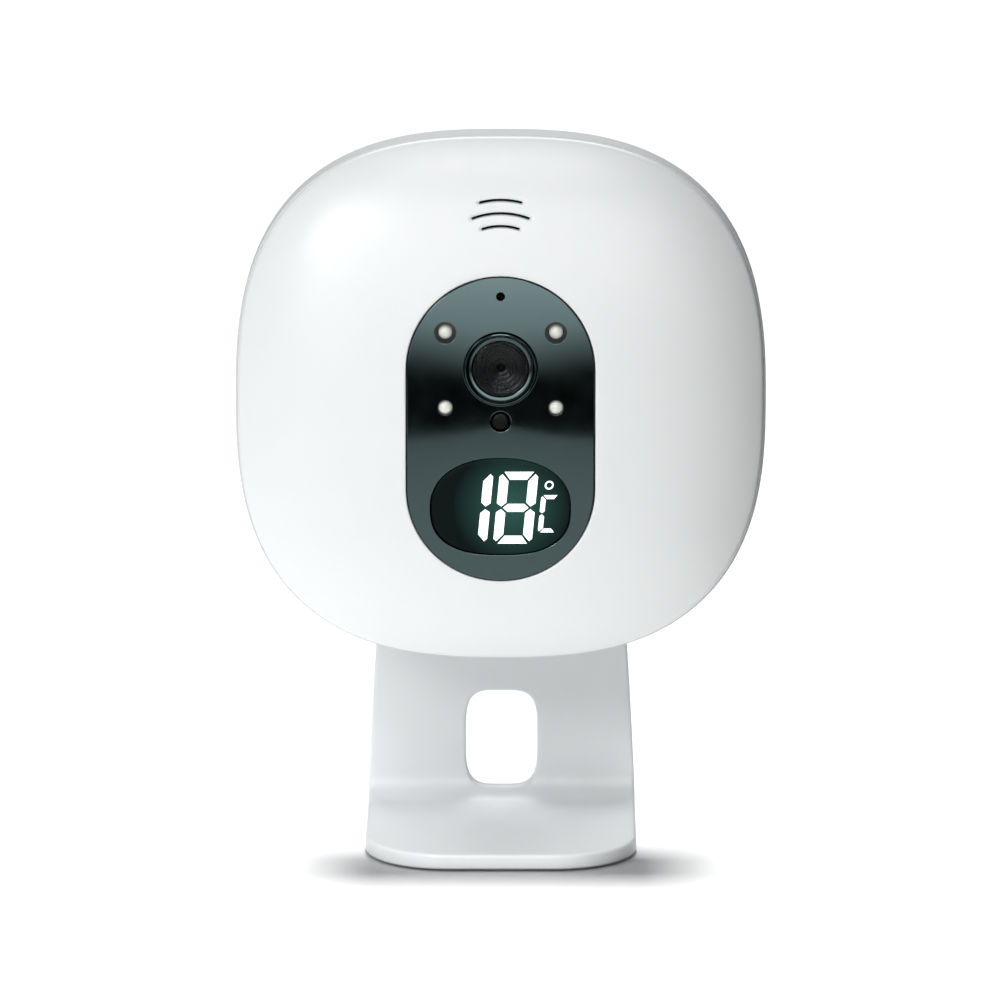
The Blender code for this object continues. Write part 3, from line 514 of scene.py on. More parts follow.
def grown(outline, distance):
    """The outline moved outwards all round. It runs anticlockwise."""
    count, moved = len(outline), []
    for i, point in enumerate(outline):
        before, after = Vector(outline[i - 1]), Vector(outline[(i + 1) % count])
        along = (after - before).normalized()
        moved.append((point[0] + along.y * distance, point[1] - along.x * distance))
    return moved


# %% [markdown]
# ## A skin
# A skin is a closed shell that is put together from rings. A strip joins two rings of equal count, and a fill
# covers the space between an outer ring and some holes with even triangles. That gives round edges to every hole
# at the size the real tool leaves, which a Boolean cut can't.


# %% The skin class
def inside(points, outline):
    """Which of the points lie inside the outline."""
    x, y = points[:, 0], points[:, 1]
    result = np.zeros(len(points), bool)
    for (x1, y1), (x2, y2) in zip(outline, np.roll(outline, 1, axis=0)):
        if y1 != y2:
            result ^= ((y1 > y) != (y2 > y)) & (x < (x2 - x1) * (y - y1) / (y2 - y1) + x1)
    return result


class Skin:
    def __init__(self):
        self.points, self.faces = [], []

    def ring(self, outline, level):
        """Adds a closed ring. level is a number, or a function of the two plan coordinates."""
        start = len(self.points)
        self.points += [(x, y, level(x, y) if callable(level) else level) for x, y in outline]
        return list(range(start, len(self.points)))

    def strip(self, first, second):
        count = len(first)
        self.faces += [(first[i], first[i - count + 1], second[i - count + 1], second[i]) for i in range(count)]

    def rings(self, rows):
        """Adds the rings of (outline, level), joins each to the next, and returns the first and the last."""
        made = [self.ring(outline, level) for outline, level in rows]
        for first, second in zip(made, made[1:]):
            self.strip(first, second)
        return made[0], made[-1]

    def fill(self, outer, holes, level, spacing):
        """Covers the space between a ring and some holes with triangles of about this size."""
        loops = [outer, *holes]
        flat = [np.array([self.points[i][:2] for i in loop]) for loop in loops]

        def between(points):
            result = inside(points, flat[0])
            for hole in flat[1:]:
                result &= ~inside(points, hole)
            return result

        edge = np.concatenate(flat)
        low, high = edge.min(0), edge.max(0)
        rows = np.arange(low[1], high[1], spacing * 0.866)
        columns = np.arange(low[0], high[0], spacing)
        grid = np.array([(x + (k % 2) * spacing / 2, y) for k, y in enumerate(rows) for x in columns])
        grid = grid[between(grid)]
        near = np.array([np.min(np.sum((edge - p) ** 2, 1)) for p in grid]) if len(grid) else np.zeros(0)
        grid = grid[near > (0.5 * spacing) ** 2]
        start = len(self.points)
        self.points += [(x, y, level(x, y) if callable(level) else level) for x, y in grid]
        ids = [i for loop in loops for i in loop] + list(range(start, len(self.points)))
        edges, base = [], 0
        for loop in loops:
            edges += [(base + i, base + (i + 1) % len(loop)) for i in range(len(loop))]
            base += len(loop)
        coords = [Vector(self.points[i][:2]) for i in ids]
        found, _, faces, origins, *_ = delaunay_2d_cdt(coords, edges, [], 0, 1e-9)
        corners = np.array([[found[k][:2] for k in face] for face in faces])
        middles = corners.mean(1)
        # Points along a straight edge may leave slivers with no area, which go.
        sides = corners[:, 1:] - corners[:, :1]
        area = np.abs(sides[:, 0, 0] * sides[:, 1, 1] - sides[:, 0, 1] * sides[:, 1, 0]) / 2
        keep = between(middles) & (area > 1e-5 * spacing**2)
        self.faces += [tuple(ids[origins[k][0]] for k in face) for face, kept in zip(faces, keep) if kept]

    def capped(self, rows):
        """Adds the rings of (outline, level), and closes both ends flat."""
        self.faces += [tuple(ring) for ring in self.rings(rows)]

    def tip(self, ring, level):
        """Closes a ring with a fan to a point on the axis."""
        tip = len(self.points)
        self.points.append((0.0, 0.0, level))
        self.faces += [(ring[i - 1], ring[i], tip) for i in range(len(ring))]

    def mesh(self, name):
        """The skin as a mesh, with its faces turned outwards."""
        shape = bmesh.new()
        corners = [shape.verts.new(p) for p in self.points]
        for face in self.faces:
            shape.faces.new([corners[i] for i in face])
        bmesh.ops.recalc_face_normals(shape, faces=shape.faces)
        loose = sum(not edge.is_manifold for edge in shape.edges)
        mesh = bpy.data.meshes.new(name)
        shape.to_mesh(mesh)
        shape.free()
        print(name, len(mesh.vertices), "points,", loose, "open edges")
        return mesh


def rounding(radius, steps=4):
    """(how far out from the wall, how far below the face) round an edge, from the face to the wall."""
    angles = [math.pi / 2 * i / steps for i in range(steps + 1)]
    return [(radius * (1 - math.sin(a)), radius * (1 - math.cos(a))) for a in angles]


def held(rows, width=0.15 * MM):
    """The same with two flat rows before it, which hold the shading flat right up to the round."""
    return [(rows[0][0] + width, 0.0), (rows[0][0] + 0.03 * MM, 0.0)] + rows


def piece(name, mesh, finish, place=None, angle=40):
    """A finished piece: its place in its mesh, its object at the origin."""
    if place is not None:
        mesh.transform(place)
    mesh.shade_smooth()
    mesh.set_sharp_from_angle(angle=math.radians(angle))
    mesh.materials.clear()
    mesh.materials.append(finish.material)
    obj = bpy.data.objects.new(name, mesh)
    bpy.context.scene.collection.objects.link(obj)
    return obj


def settle(obj, body, slot, *nodes):
    """Hangs a piece on the body that it rides on, and hides the imported parts that it stands for.

    slot names the finish that it takes, and is not used.
    """
    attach(obj, body)
    if nodes:
        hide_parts(*nodes)
    return obj


# %% [markdown]
# ## The crown as a rule
# The cover, the window and the display's plate are all slices of one crown, and the crown is a formula. So they
# are drawn flat, with level 0 for the crown itself, and one Geometry Nodes tree lifts all of them onto it.


# %% The crown tree
def geometry_tree(name, inputs):
    """A Geometry Nodes tree with a geometry in and out, and the named inputs with their values."""
    tree = bpy.data.node_groups.new(name, "GeometryNodeTree")
    tree.interface.new_socket("Geometry", in_out="INPUT", socket_type="NodeSocketGeometry")
    kinds = {float: "NodeSocketFloat", int: "NodeSocketInt", bpy.types.Object: "NodeSocketObject"}
    for label, value in inputs.items():
        kind = kinds.get(type(value), "NodeSocketObject")
        socket = tree.interface.new_socket(label, in_out="INPUT", socket_type=kind)
        if kind != "NodeSocketObject":
            socket.default_value = value
    tree.interface.new_socket("Geometry", in_out="OUTPUT", socket_type="NodeSocketGeometry")
    return tree, node(tree, "NodeGroupInput").outputs


def finish_tree(tree, geometry, finish):
    """Ends a tree as the export needs it: real geometry, with its material set."""
    real = node(tree, "GeometryNodeRealizeInstances", {"Geometry": geometry})
    painted = node(tree, "GeometryNodeSetMaterial", {"Geometry": real.outputs[0], "Material": finish.material})
    node(tree, "NodeGroupOutput", {"Geometry": painted.outputs[0]})


def grow(tree, mesh, values=None):
    """Runs a tree on a mesh, with some of its inputs changed, and returns the plain mesh that it makes."""
    obj = bpy.data.objects.new("bench", mesh)
    bpy.context.scene.collection.objects.link(obj)
    modifier = obj.modifiers.new("tree", "NODES")
    modifier.node_group = tree
    names = {item.name: item.identifier for item in tree.interface.items_tree if item.in_out == "INPUT"}
    for label, value in (values or {}).items():
        modifier[names[label]] = value
    bpy.context.view_layer.update()
    graph = bpy.context.evaluated_depsgraph_get()
    made = bpy.data.meshes.new_from_object(obj.evaluated_get(graph))
    bpy.data.objects.remove(obj)
    return made


def math_node(tree, operation, first, second=0.0):
    made = tree.nodes.new("ShaderNodeMath")
    made.operation = operation
    for socket, value in zip(made.inputs, (first, second)):
        if isinstance(value, bpy.types.NodeSocket):
            tree.links.new(value, socket)
        else:
            socket.default_value = value
    return made.outputs[0]


def crown_tree(name, finish):
    sizes = {"Half": COVER_HALF, "Power": PLAN_POWER, "Round": DOME_ROUND, "Edge": DOME_EDGE}
    tree, given = geometry_tree(name, sizes)
    place = node(tree, "GeometryNodeInputPosition").outputs[0]
    axes = node(tree, "ShaderNodeSeparateXYZ", {"Vector": place}).outputs
    powers = [math_node(tree, "POWER", math_node(tree, "ABSOLUTE", axes[k]), given["Power"]) for k in (0, 1)]
    total = math_node(tree, "ADD", *powers)
    radius = math_node(tree, "POWER", total, math_node(tree, "DIVIDE", 1.0, given["Power"]))
    share = math_node(tree, "MINIMUM", math_node(tree, "DIVIDE", radius, given["Half"]), 1.0)
    falls = [math_node(tree, "SUBTRACT", 1.0, math_node(tree, "POWER", share, p)) for p in (2.0, 6.0)]
    lifts = [math_node(tree, "MULTIPLY", fall, given[k]) for fall, k in zip(falls, ("Round", "Edge"))]
    lift = node(tree, "ShaderNodeCombineXYZ", {"Z": math_node(tree, "ADD", *lifts)}).outputs[0]
    moved = node(tree, "GeometryNodeSetPosition", {"Geometry": given["Geometry"], "Offset": lift})
    finish_tree(tree, moved.outputs[0], finish)
    return tree


def on_crown(name, skin, finish, angle=40):
    """A flat skin lifted onto the crown and put on the head."""
    flat = skin.mesh(name)
    return piece(name, grow(crown_tree(name + "_crown", finish), flat), finish, HEAD, angle)


# %% [markdown]
# ## The front cover
# One white moulding. Its edge is rounded at 2 mm where it turns down to the housing, the window's opening has a
# small roll, and the surface dips above each speaker slot, so that the slot opens under a soft lip.

# %% Cover
COVER_WALL, COVER_SKIRT = 2.2 * MM, 1.2 * MM
TONGUE_DEPTH, TONGUE_OUTER, TONGUE_INNER = 4.0 * MM, 2.0 * MM, 3.4 * MM
WINDOW_WIDTH, WINDOW_HEIGHT, WINDOW_UP = 40.4 * MM, 66.3 * MM, -5.5 * MM
SPEAKER_UP, SLOT_WIDTH = 41.15 * MM, 0.66 * MM
SLOTS = ((9.35, 0.52, 2.8), (12.6, 1.05, 0.0), (8.3, 0.58, -2.7))  # chord, rise and place above the speaker
LIP_REACH, LIP_DEPTH = 1.0 * MM, 0.45 * MM


def lip(x, up):
    """The dip of the surface above the slots."""
    deepest = 0.0
    for chord, rise, above in SLOTS:
        radius, half = bow(chord * MM, rise * MM)
        dx, dy = x, up - (SPEAKER_UP + above * MM - radius)
        over = (math.hypot(dx, dy) - radius) / LIP_REACH
        beyond = max(abs(math.degrees(math.atan2(dx, dy))) - half, 0.0) * math.radians(radius) / (0.45 * MM)
        if -0.45 < over < 1:
            share = min(1.0, (over + 0.45) / 0.45) * (1 - max(over, 0.0)) ** 2
            deepest = max(deepest, LIP_DEPTH * share * math.exp(-(beyond**2)))
    return -deepest


def make_cover():
    skin = Skin()
    edge_share = 0.985
    slope = math.atan((2 * DOME_ROUND * edge_share + 6 * DOME_EDGE * edge_share**5) / COVER_HALF)
    edge_radius = (1 - edge_share) * COVER_HALF / (1 - math.sin(slope))
    start = superellipse(COVER_HALF * edge_share)
    edge_middle = dome(*start[0]) - edge_radius * math.cos(slope)
    rows = [(start, 0.0)]
    for i in range(1, 9):
        a = slope + (math.pi / 2 - slope) * i / 8
        half = COVER_HALF - edge_radius * (1 - math.sin(a))
        front = edge_middle + edge_radius * math.cos(a)
        rows.append((superellipse(half), lambda x, y, f=front: f - dome(x, y)))
    skirt = [(0, COVER_SKIRT), (TONGUE_OUTER, COVER_SKIRT)]
    for inset, front in skirt + [(TONGUE_OUTER, TONGUE_DEPTH), (TONGUE_INNER, TONGUE_DEPTH)]:
        rows.append((superellipse(COVER_HALF - inset), lambda x, y, f=front: -f - dome(x, y)))
    rows.append((superellipse(COVER_HALF - TONGUE_INNER), -COVER_WALL))
    outer, inner = skin.rings(rows)
    opening = stadium(WINDOW_WIDTH + 0.4 * MM, WINDOW_HEIGHT + 0.4 * MM, (0, WINDOW_UP))
    rows = [(grown(opening, out), -down) for out, down in rounding(0.35 * MM)] + [(opening, -COVER_WALL)]
    holes = [skin.rings(rows)]
    for chord, rise, above in SLOTS:
        slot = bowed_slot(chord * MM, rise * MM, SLOT_WIDTH, SPEAKER_UP + above * MM)
        rows = [(grown(slot, out * MM), lip) for out in (0.95, 0.7, 0.5, 0.33, 0.18)]
        rows += [(grown(slot, out), lambda x, y, d=down: lip(x, y) - d) for out, down in rounding(0.08 * MM, 2)]
        rows.append((slot, -COVER_WALL))
        holes.append(skin.rings(rows))
    skin.fill(outer, [first for first, _ in holes], lip, 1.3 * MM)
    skin.fill(inner, [last for _, last in holes], -COVER_WALL, 2.6 * MM)
    return on_crown("crowned_front_cover", skin, white_abs)


settle(make_cover(), "head", "cover_shell", "front_cover")

# %% [markdown]
# ## The window
# The dark panel lies a hair below the cover and shows a thin dark joint all round. Each thing that looks out has
# its own hole. The upper lamps sit at the bottom of small wells.

# %% Window panel
WINDOW_SUNK, WINDOW_THICK = 0.15 * MM, 3.6 * MM
LENS_UP, LAMP_X, LAMP_UPPER, LAMP_LOWER = 7.9 * MM, 11.9 * MM, 15.65 * MM, -0.55 * MM
LIGHT_SENSOR_UP, MIC_UP, DISPLAY_UP = -3.55 * MM, 23.5 * MM, -22.2 * MM
DISPLAY_HALF_WIDTH, DISPLAY_HALF_HEIGHT = 15.15 * MM, 10.75 * MM


def display_outline(grow_by=0.0):
    return squared_oval(DISPLAY_HALF_WIDTH + grow_by, DISPLAY_HALF_HEIGHT + grow_by, 2.2, 2.6, DISPLAY_UP)


def make_window():
    skin = Skin()
    outline = stadium(WINDOW_WIDTH, WINDOW_HEIGHT, (0, WINDOW_UP))
    top, bottom = -WINDOW_SUNK, -WINDOW_THICK
    rows = [(grown(outline, -out), top - down) for out, down in held(rounding(0.25 * MM))] + [(outline, bottom)]
    outer, inner = skin.rings(rows)

    def hole(outline, roll, *steps):
        rows = [(grown(outline, out), top - down) for out, down in held(rounding(roll, 3))]
        rows += [(grown(outline, -inset), -depth) for inset, depth in steps]
        return skin.rings(rows + [(rows[-1][0], bottom)])

    holes = [hole(circle(7.95 * MM, (0, LENS_UP), 72), 0.12 * MM)]
    holes.append(hole(circle(0.9 * MM, (0, MIC_UP), 24), 0.1 * MM))
    holes.append(hole(circle(2.2 * MM, (0, LIGHT_SENSOR_UP)), 0.18 * MM))
    for x in (-LAMP_X, LAMP_X):
        well = ((0.08 * MM, 0.6 * MM), (0.62 * MM, 2.3 * MM))
        holes.append(hole(circle(2.3 * MM, (x, LAMP_UPPER)), 0.12 * MM, *well))
        holes.append(hole(circle(1.62 * MM, (x, LAMP_LOWER), 36), 0.06 * MM))
    holes.append(hole(display_outline(), 0.18 * MM))
    skin.fill(outer, [first for first, _ in holes], top, 1.1 * MM)
    skin.fill(inner, [last for _, last in holes], bottom, 2.2 * MM)
    return on_crown("smoked_window_panel", skin, window_acrylic, 50)


settle(make_window(), "head", "window_black", "window_panel")


# %% [markdown]
# ## Turned pieces
# The lens, the lamps, the buttons and the hinge's barrel are all solids of revolution. One helper spins a profile
# of (radius, level) that starts and ends on the axis, or closes on itself, and hands back a closed mesh.


# %% The turning helper
def turned(name, profile, steps=64, closed=None):
    """Spins (radius, level) in millimetres about the third axis."""
    skin = Skin()
    if closed is None:
        closed = profile[0][0] > 0
    rows = [(circle(radius * MM, (0, 0), steps), level * MM) for radius, level in profile if radius > 0]
    first, last = skin.rings(rows)
    if closed:
        skin.strip(last, first)
    else:
        skin.tip(first, profile[0][1] * MM)
        skin.tip(last, profile[-1][1] * MM)
    return skin.mesh(name)


def on_head(x=0.0, up=0.0, front=0.0):
    return HEAD @ Matrix.Translation((x, up, front))


# %% [markdown]
# ## The lens
# A polished black ring carries a front glass. Behind the glass a funnel runs down to a small aperture, and five
# fine ridges on it each catch a thin line of light. The glass casts no shadow, so that light gets to them.

# %% Lens
ring_profile = [(6.2, 9.75), (6.3, 9.8), (6.85, 9.82), (7.3, 10.3), (7.42, 10.55), (7.55, 10.66), (7.66, 10.6)]
ring_profile += [(7.72, 10.45), (7.72, 9.0), (7.6, 4.9), (6.2, 4.9)]
ring = piece("lens_ring_polished", turned("ring", ring_profile, 120), ring_acrylic, on_head(up=LENS_UP), 35)
settle(ring, "head", "window_black", "lens_ring")

glass_profile = [(0, 10.14)]
glass_profile += [(r, 10.14 - 0.012 * r * r) for r in (1.0, 2.0, 3.0, 4.0, 5.0, 5.7)]
glass_profile += [(5.95, 9.6), (5.95, 9.5), (0, 9.5)]
glass = piece("lens_front_glass", turned("glass", glass_profile, 96), coated_glass, on_head(up=LENS_UP), 60)
settle(glass, "head", "clear_glass", "lens_glass")
glass.visible_shadow = False

# The aperture ends in a cone. Each ridge is a small round step, a little higher than the next one's foot.
APERTURE, APERTURE_LEVEL, RIDGE_COUNT, RIDGE_OUT, RIDGE_UP = 1.0, 7.15, 5, 0.93, 0.41
throat = [(0, 4.98), (0.95, 6.6), (APERTURE, APERTURE_LEVEL)]
ridge = [(0.6, 0.265), (0.64, 0.36), (0.69, 0.41), (0.76, 0.435), (0.84, 0.44), (RIDGE_OUT, RIDGE_UP)]
for k in range(RIDGE_COUNT):
    throat += [(APERTURE + RIDGE_OUT * k + out, APERTURE_LEVEL + RIDGE_UP * k + up) for out, up in ridge]
throat += [(5.85, 9.25), (5.95, 9.25), (5.95, 4.9), (0, 4.9)]
baffle = piece("lens_throat", turned("throat", throat, 96, closed=False), throat_black, on_head(up=LENS_UP), 30)
settle(baffle, "head", "black_plastic", "lens_baffle")

# %% [markdown]
# ## Lamps and sensor
# The upper lamps end below the panel, at the bottom of their wells. The lower ones come up flush with it.

# %% Lamps and light sensor
BOARD_SEAT = 3.9


def lamp(name, x, up, sunk, slot_node):
    height = dome(x, up) / MM - sunk - BOARD_SEAT
    tip = [(1.5 * math.sin(a), height - 1.1 + 1.1 * math.cos(a)) for a in np.linspace(0, math.pi / 2, 9)]
    profile = [(0, height)] + tip[1:] + [(1.5, 0), (0, 0)]
    obj = piece(name, turned(name, profile, 48), lamp_epoxy, on_head(x, up, BOARD_SEAT * MM), 50)
    settle(obj, "head", "clear_resin", slot_node)


for side, x in (("left", -LAMP_X), ("right", LAMP_X)):
    lamp(f"lamp_upper_{side}", x, LAMP_UPPER, 0.85, f"infrared_lamp_upper_{side}")
    lamp(f"lamp_lower_{side}", x, LAMP_LOWER, 0.05, f"infrared_lamp_lower_{side}")

sensor_top = dome(0, LIGHT_SENSOR_UP) / MM - 0.4 - BOARD_SEAT
sensor_profile = [(0, sensor_top), (1.3, sensor_top - 0.02), (1.65, sensor_top - 0.08), (1.85, sensor_top - 0.3)]
sensor_profile += [(1.9, sensor_top - 0.6), (1.9, 0), (0, 0)]
sensor = turned("sensor", sensor_profile, 48)
sensor = piece("light_sensor_dome", sensor, sensor_resin, on_head(0, LIGHT_SENSOR_UP, BOARD_SEAT * MM), 50)
settle(sensor, "head", "smoked_plastic", "light_sensor")

# %% [markdown]
# ## The display
# A dark plate fills the opening, lit a little from behind. On it stand the segments of the digits. The real ones
# are windows in a printed mask, mitred where they meet. One function draws the seven segments of a digit from its
# width, height and two thicknesses, and the whole display is then slanted and laid on the crown.

# %% Display plate
display_glow = Finish("lit_display_acrylic", Roughness=0.3, Specular_IOR_Level=0.04, Emission_Strength=1.0)
lit_middle = HEAD @ Vector((2.6 * MM, DISPLAY_UP, 9 * MM))
reach = display_glow.add(
    "ShaderNodeMapping", {"Vector": display_glow.place, "Location": tuple(-c / (13 * MM) for c in lit_middle)}
)
reach.inputs["Scale"].default_value = (1 / (13 * MM),) * 3
ball = display_glow.add("ShaderNodeTexGradient", {"Vector": reach.outputs["Vector"]}, gradient_type="SPHERICAL")
display_glow.tone(6.0, "04090a", "060c0d")
display_glow.feed(display_glow.mix(ball.outputs["Fac"], tint("050d0c"), tint("2f574f")), "Emission Color")


def make_display_plate():
    skin = Skin()
    outline = display_outline(-0.25 * MM)
    rows = [(grown(outline, -out), -0.4 * MM - down) for out, down in rounding(0.15 * MM, 2)]
    rows.append((outline, -3.3 * MM))
    outer, inner = skin.rings(rows)
    skin.fill(outer, [], -0.4 * MM, 1.0 * MM)
    skin.fill(inner, [], -3.3 * MM, 2.0 * MM)
    return on_crown("display_plate", skin, display_glow)


settle(make_display_plate(), "head", "smoked_plastic", "display_lens")

# %% Digit bars
digit_light = Finish("digit_light", Roughness=0.4, Emission_Strength=1.05)
evenness = digit_light.noise(5.0)
digit_light.feed(digit_light.mix(evenness, tint("f4fbfb"), tint("fbffff")), "Emission Color")
digit_light.feed(digit_light.mix(evenness, tint("e8f0f0"), tint("f4fafa")), "Base Color")


def prism_mesh(name, outline):
    """An outline one unit high."""
    count = len(outline)
    mesh = bpy.data.meshes.new(name)
    sides = [(i, (i + 1) % count, count + (i + 1) % count, count + i) for i in range(count)]
    points = [(x, y, z) for z in (0.0, 1.0) for x, y in outline]
    mesh.from_pydata(points, [], [tuple(range(count - 1, -1, -1)), tuple(range(count, 2 * count)), *sides])
    return mesh


DIGIT_SLANT = 0.096
DIGIT_RISE = 0.08 * MM
DIGIT_MIDDLE = -22.45


def segments(left, middle, width, height, upright, flat, lit):
    """The lit segments of one digit, as (outline in millimetres), named by the usual letters.

    upright and flat are the thicknesses of the standing and the lying bars.
    """
    gap, half = 0.15 * upright, height / 2
    right, up, down = left + width, middle + half, middle - half
    slope = upright / flat
    point = 0.5 * flat

    def standing(side, sign):
        """A standing bar: its outer edge is at side, and sign says to which side its inner edge lies."""
        inner = side + sign * upright
        far, near = half - gap, gap
        corner = [(side, far - 0.45 * flat), (side + sign * 0.3 * upright, far - 0.12 * flat)]
        corner.append((inner, far - flat))
        return corner + [(inner, near + point), (side + sign * 0.5 * upright, near), (side, near + 0.4 * flat)]

    made = []
    for letter in lit:
        if letter in "ad":
            sign = 1 if letter == "a" else -1
            reach = 0.32 * upright + gap * slope
            outline = [(left + reach, half), (right - reach, half)]
            outline += [(right - upright - gap, half - flat), (left + upright + gap, half - flat)]
        elif letter == "g":
            start, end = left + 0.55 * upright + gap, right - 0.55 * upright - gap
            bevel = 0.5 * upright
            outline = [(start, 0), (start + bevel, point), (end - bevel, point)]
            outline += [(end, 0), (end - bevel, -point), (start + bevel, -point)]
        else:
            sign = 1 if letter in "fb" else -1
            outline = standing(left, 1) if letter in "fe" else standing(right, -1)
        made.append([(x, middle + sign * y) for x, y in outline])
    return made


def make_digits():
    outlines = segments(-10.58, DIGIT_MIDDLE, 8.33, 15.86, 2.02, 1.75, "bc")
    outlines += segments(-0.89, DIGIT_MIDDLE, 8.33, 15.86, 2.02, 1.75, "abcdefg")
    outlines += segments(8.53, DIGIT_MIDDLE - 1.33, 3.97, 8.23, 1.03, 0.85, "afed")
    shape = bmesh.new()
    for outline in outlines:
        shape.from_mesh(prism_mesh("segment", [(x * MM, up * MM) for x, up in outline]))
    bmesh.ops.scale(shape, vec=(1, 1, DIGIT_RISE), verts=shape.verts)
    degree = turned("degree", [(0.63, 0), (0.96, 0), (0.96, 0.08), (0.63, 0.08)], 32, True)
    degree.transform(Matrix.Translation((10.0 * MM, (DIGIT_MIDDLE + 4.98) * MM, 0)))
    shape.from_mesh(degree)
    bmesh.ops.subdivide_edges(shape, edges=[e for e in shape.edges if e.calc_length() > 2 * MM], cuts=3)
    for vertex in shape.verts:
        x, up, rise = vertex.co
        x += (up - DIGIT_MIDDLE * MM) * DIGIT_SLANT
        vertex.co = (x, up, dome(x, up) - 0.42 * MM + rise)
    bmesh.ops.recalc_face_normals(shape, faces=shape.faces)
    mesh = bpy.data.meshes.new("digits")
    shape.to_mesh(mesh)
    shape.free()
    return piece("display_digits", mesh, digit_light, HEAD)


settle(make_digits(), "head", "smoked_plastic")

# %% [markdown]
# ## The rear housing
# The back shell is a squared bowl. It is spun with many fine rings, pushed out to the superellipse, and then cut
# for the screws, the buttons, the sockets and the vents. A cut through a fine smooth mesh would leave faint dents
# in the shading, so the shell's true direction is worked out from its formula and given to every corner on it.

# %% Housing shell
HOUSING_WALL = 2.0 * MM
FRONT_EDGE = -COVER_SKIRT - 0.3 * MM
SCREW_AT, SIDE_X, UPPER_ROW, LOWER_ROW = 36.0, 38.0, 6.0, -12.0
PLAN_STEPS = 176


def back(share):
    return SIDE_DEPTH + BACK_DEPTH * max(0.0, 1 - share**BACK_PLAN_POWER) ** (1 / BACK_POWER)


def back_line(shrink, steps=26):
    """(half, level) down the back, from near the pole to the front of the side, moved in by shrink."""
    shares = [math.sin(math.pi / 2 * i / steps) for i in range(1, steps)]
    shares = [share**0.93 for share in shares] + [0.9992]
    return [(share * (HEAD_HALF - shrink), shrink - back(share)) for share in shares]


def shell_skin():
    skin = Skin()
    rim = 0.35 * MM
    rows = [(superellipse(half, PLAN_STEPS), level) for half, level in back_line(0.0)]
    rows += [(superellipse(HEAD_HALF, PLAN_STEPS), -SIDE_DEPTH)]
    for inset, down in reversed(rounding(rim, 3)):
        rows.append((superellipse(HEAD_HALF - inset, PLAN_STEPS), FRONT_EDGE - down))
    rows.append((superellipse(HEAD_HALF - HOUSING_WALL, PLAN_STEPS), FRONT_EDGE))
    rows += [(superellipse(half, PLAN_STEPS), level) for half, level in back_line(HOUSING_WALL)[::-1]]
    outer, inner = skin.rings(rows)
    skin.tip(outer, -back(0))
    skin.tip(inner, HOUSING_WALL - back(0))
    return skin


def tool(name, outline, low, high):
    """A straight cutter or boss through the plan, in millimetres of level."""
    skin = Skin()
    skin.capped([(outline, low * MM), (outline, high * MM)])
    return skin.mesh(name)


def joined(name, meshes):
    """Several closed meshes that don't touch, as one mesh."""
    shape = bmesh.new()
    for mesh in meshes:
        shape.from_mesh(mesh)
    made = bpy.data.meshes.new(name)
    shape.to_mesh(made)
    shape.free()
    return made


def merged(name, meshes):
    """The same, as an object to cut or add with."""
    obj = bpy.data.objects.new(name, joined(name, meshes))
    bpy.context.scene.collection.objects.link(obj)
    return obj


def combine(mesh, steps):
    """Runs the Booleans, (operation, object), on a mesh, and clears the tools away."""
    work = bpy.data.objects.new("work", mesh)
    bpy.context.scene.collection.objects.link(work)
    for operation, other in steps:
        modifier = work.modifiers.new(other.name, "BOOLEAN")
        modifier.operation, modifier.object, modifier.solver = operation, other, "EXACT"
    bpy.context.view_layer.update()
    graph = bpy.context.evaluated_depsgraph_get()
    made = bpy.data.meshes.new_from_object(work.evaluated_get(graph))
    for obj in [work] + [other for _, other in steps]:
        bpy.data.objects.remove(obj)
    return made


def circles(places, radius, low, high, steps=48):
    return [tool("tool", circle(radius * MM, (x * MM, y * MM), steps), low, high) for x, y in places]


def rounded(width, height, corner, centre):
    x, y = width / 2 - corner, height / 2 - corner
    outline = []
    for cx, cy, start in ((x, y, 0), (-x, y, 90), (-x, -y, 180), (x, -y, 270)):
        outline += arc((centre[0] + cx, centre[1] + cy), corner, start, start + 90, 8)
    return [(px * MM, py * MM) for px, py in outline]


# %% [markdown]
# The five vents repeat, so a Geometry Nodes tree sets one slot cutter on each point of a line.


# %% Vent cutters
def vent_cutters():
    slot = tool("vent_slot", stadium(26 * MM, 1.6 * MM, steps=12, sides=2), -34, -24)
    slot_object = bpy.data.objects.new("vent_slot", slot)
    bpy.context.scene.collection.objects.link(slot_object)
    sizes = {"Slot": slot_object, "Count": 5, "Pitch": 4.0 * MM, "First": 18.0 * MM}
    tree, given = geometry_tree("vent_row", sizes)
    start = node(tree, "ShaderNodeCombineXYZ", {"Y": given["First"]}).outputs[0]
    pitch = node(tree, "ShaderNodeCombineXYZ", {"Y": given["Pitch"]}).outputs[0]
    row = node(tree, "GeometryNodeMeshLine", {"Count": given["Count"], "Start Location": start, "Offset": pitch})
    shape = node(tree, "GeometryNodeObjectInfo", {"Object": given["Slot"]}).outputs["Geometry"]
    placed = node(tree, "GeometryNodeInstanceOnPoints", {"Points": row.outputs[0], "Instance": shape})
    finish_tree(tree, placed.outputs["Instances"], grey_abs_with_painted_shade)
    made = grow(tree, bpy.data.meshes.new("vents"), {"Slot": slot_object})
    bpy.data.objects.remove(slot_object)
    return made


# %% [markdown]
# Two lugs stand out from the back and hold the hinge bolt between them. Each is a flat plate with rounded edges,
# drawn as it looks from the side.

# %% Lugs
BARREL_HALF, EAR_THICK, EAR_RADIUS = 25.0, 6.0, 7.5
EAR_INNER = BARREL_HALF + 0.7 + 2 * 0.22
TO_SIDE = Matrix(((0, 0, 1, 0), (1, 0, 0, 0), (0, 1, 0, 0), (0, 0, 0, 1)))  # (up, front, x) to (x, up, front)


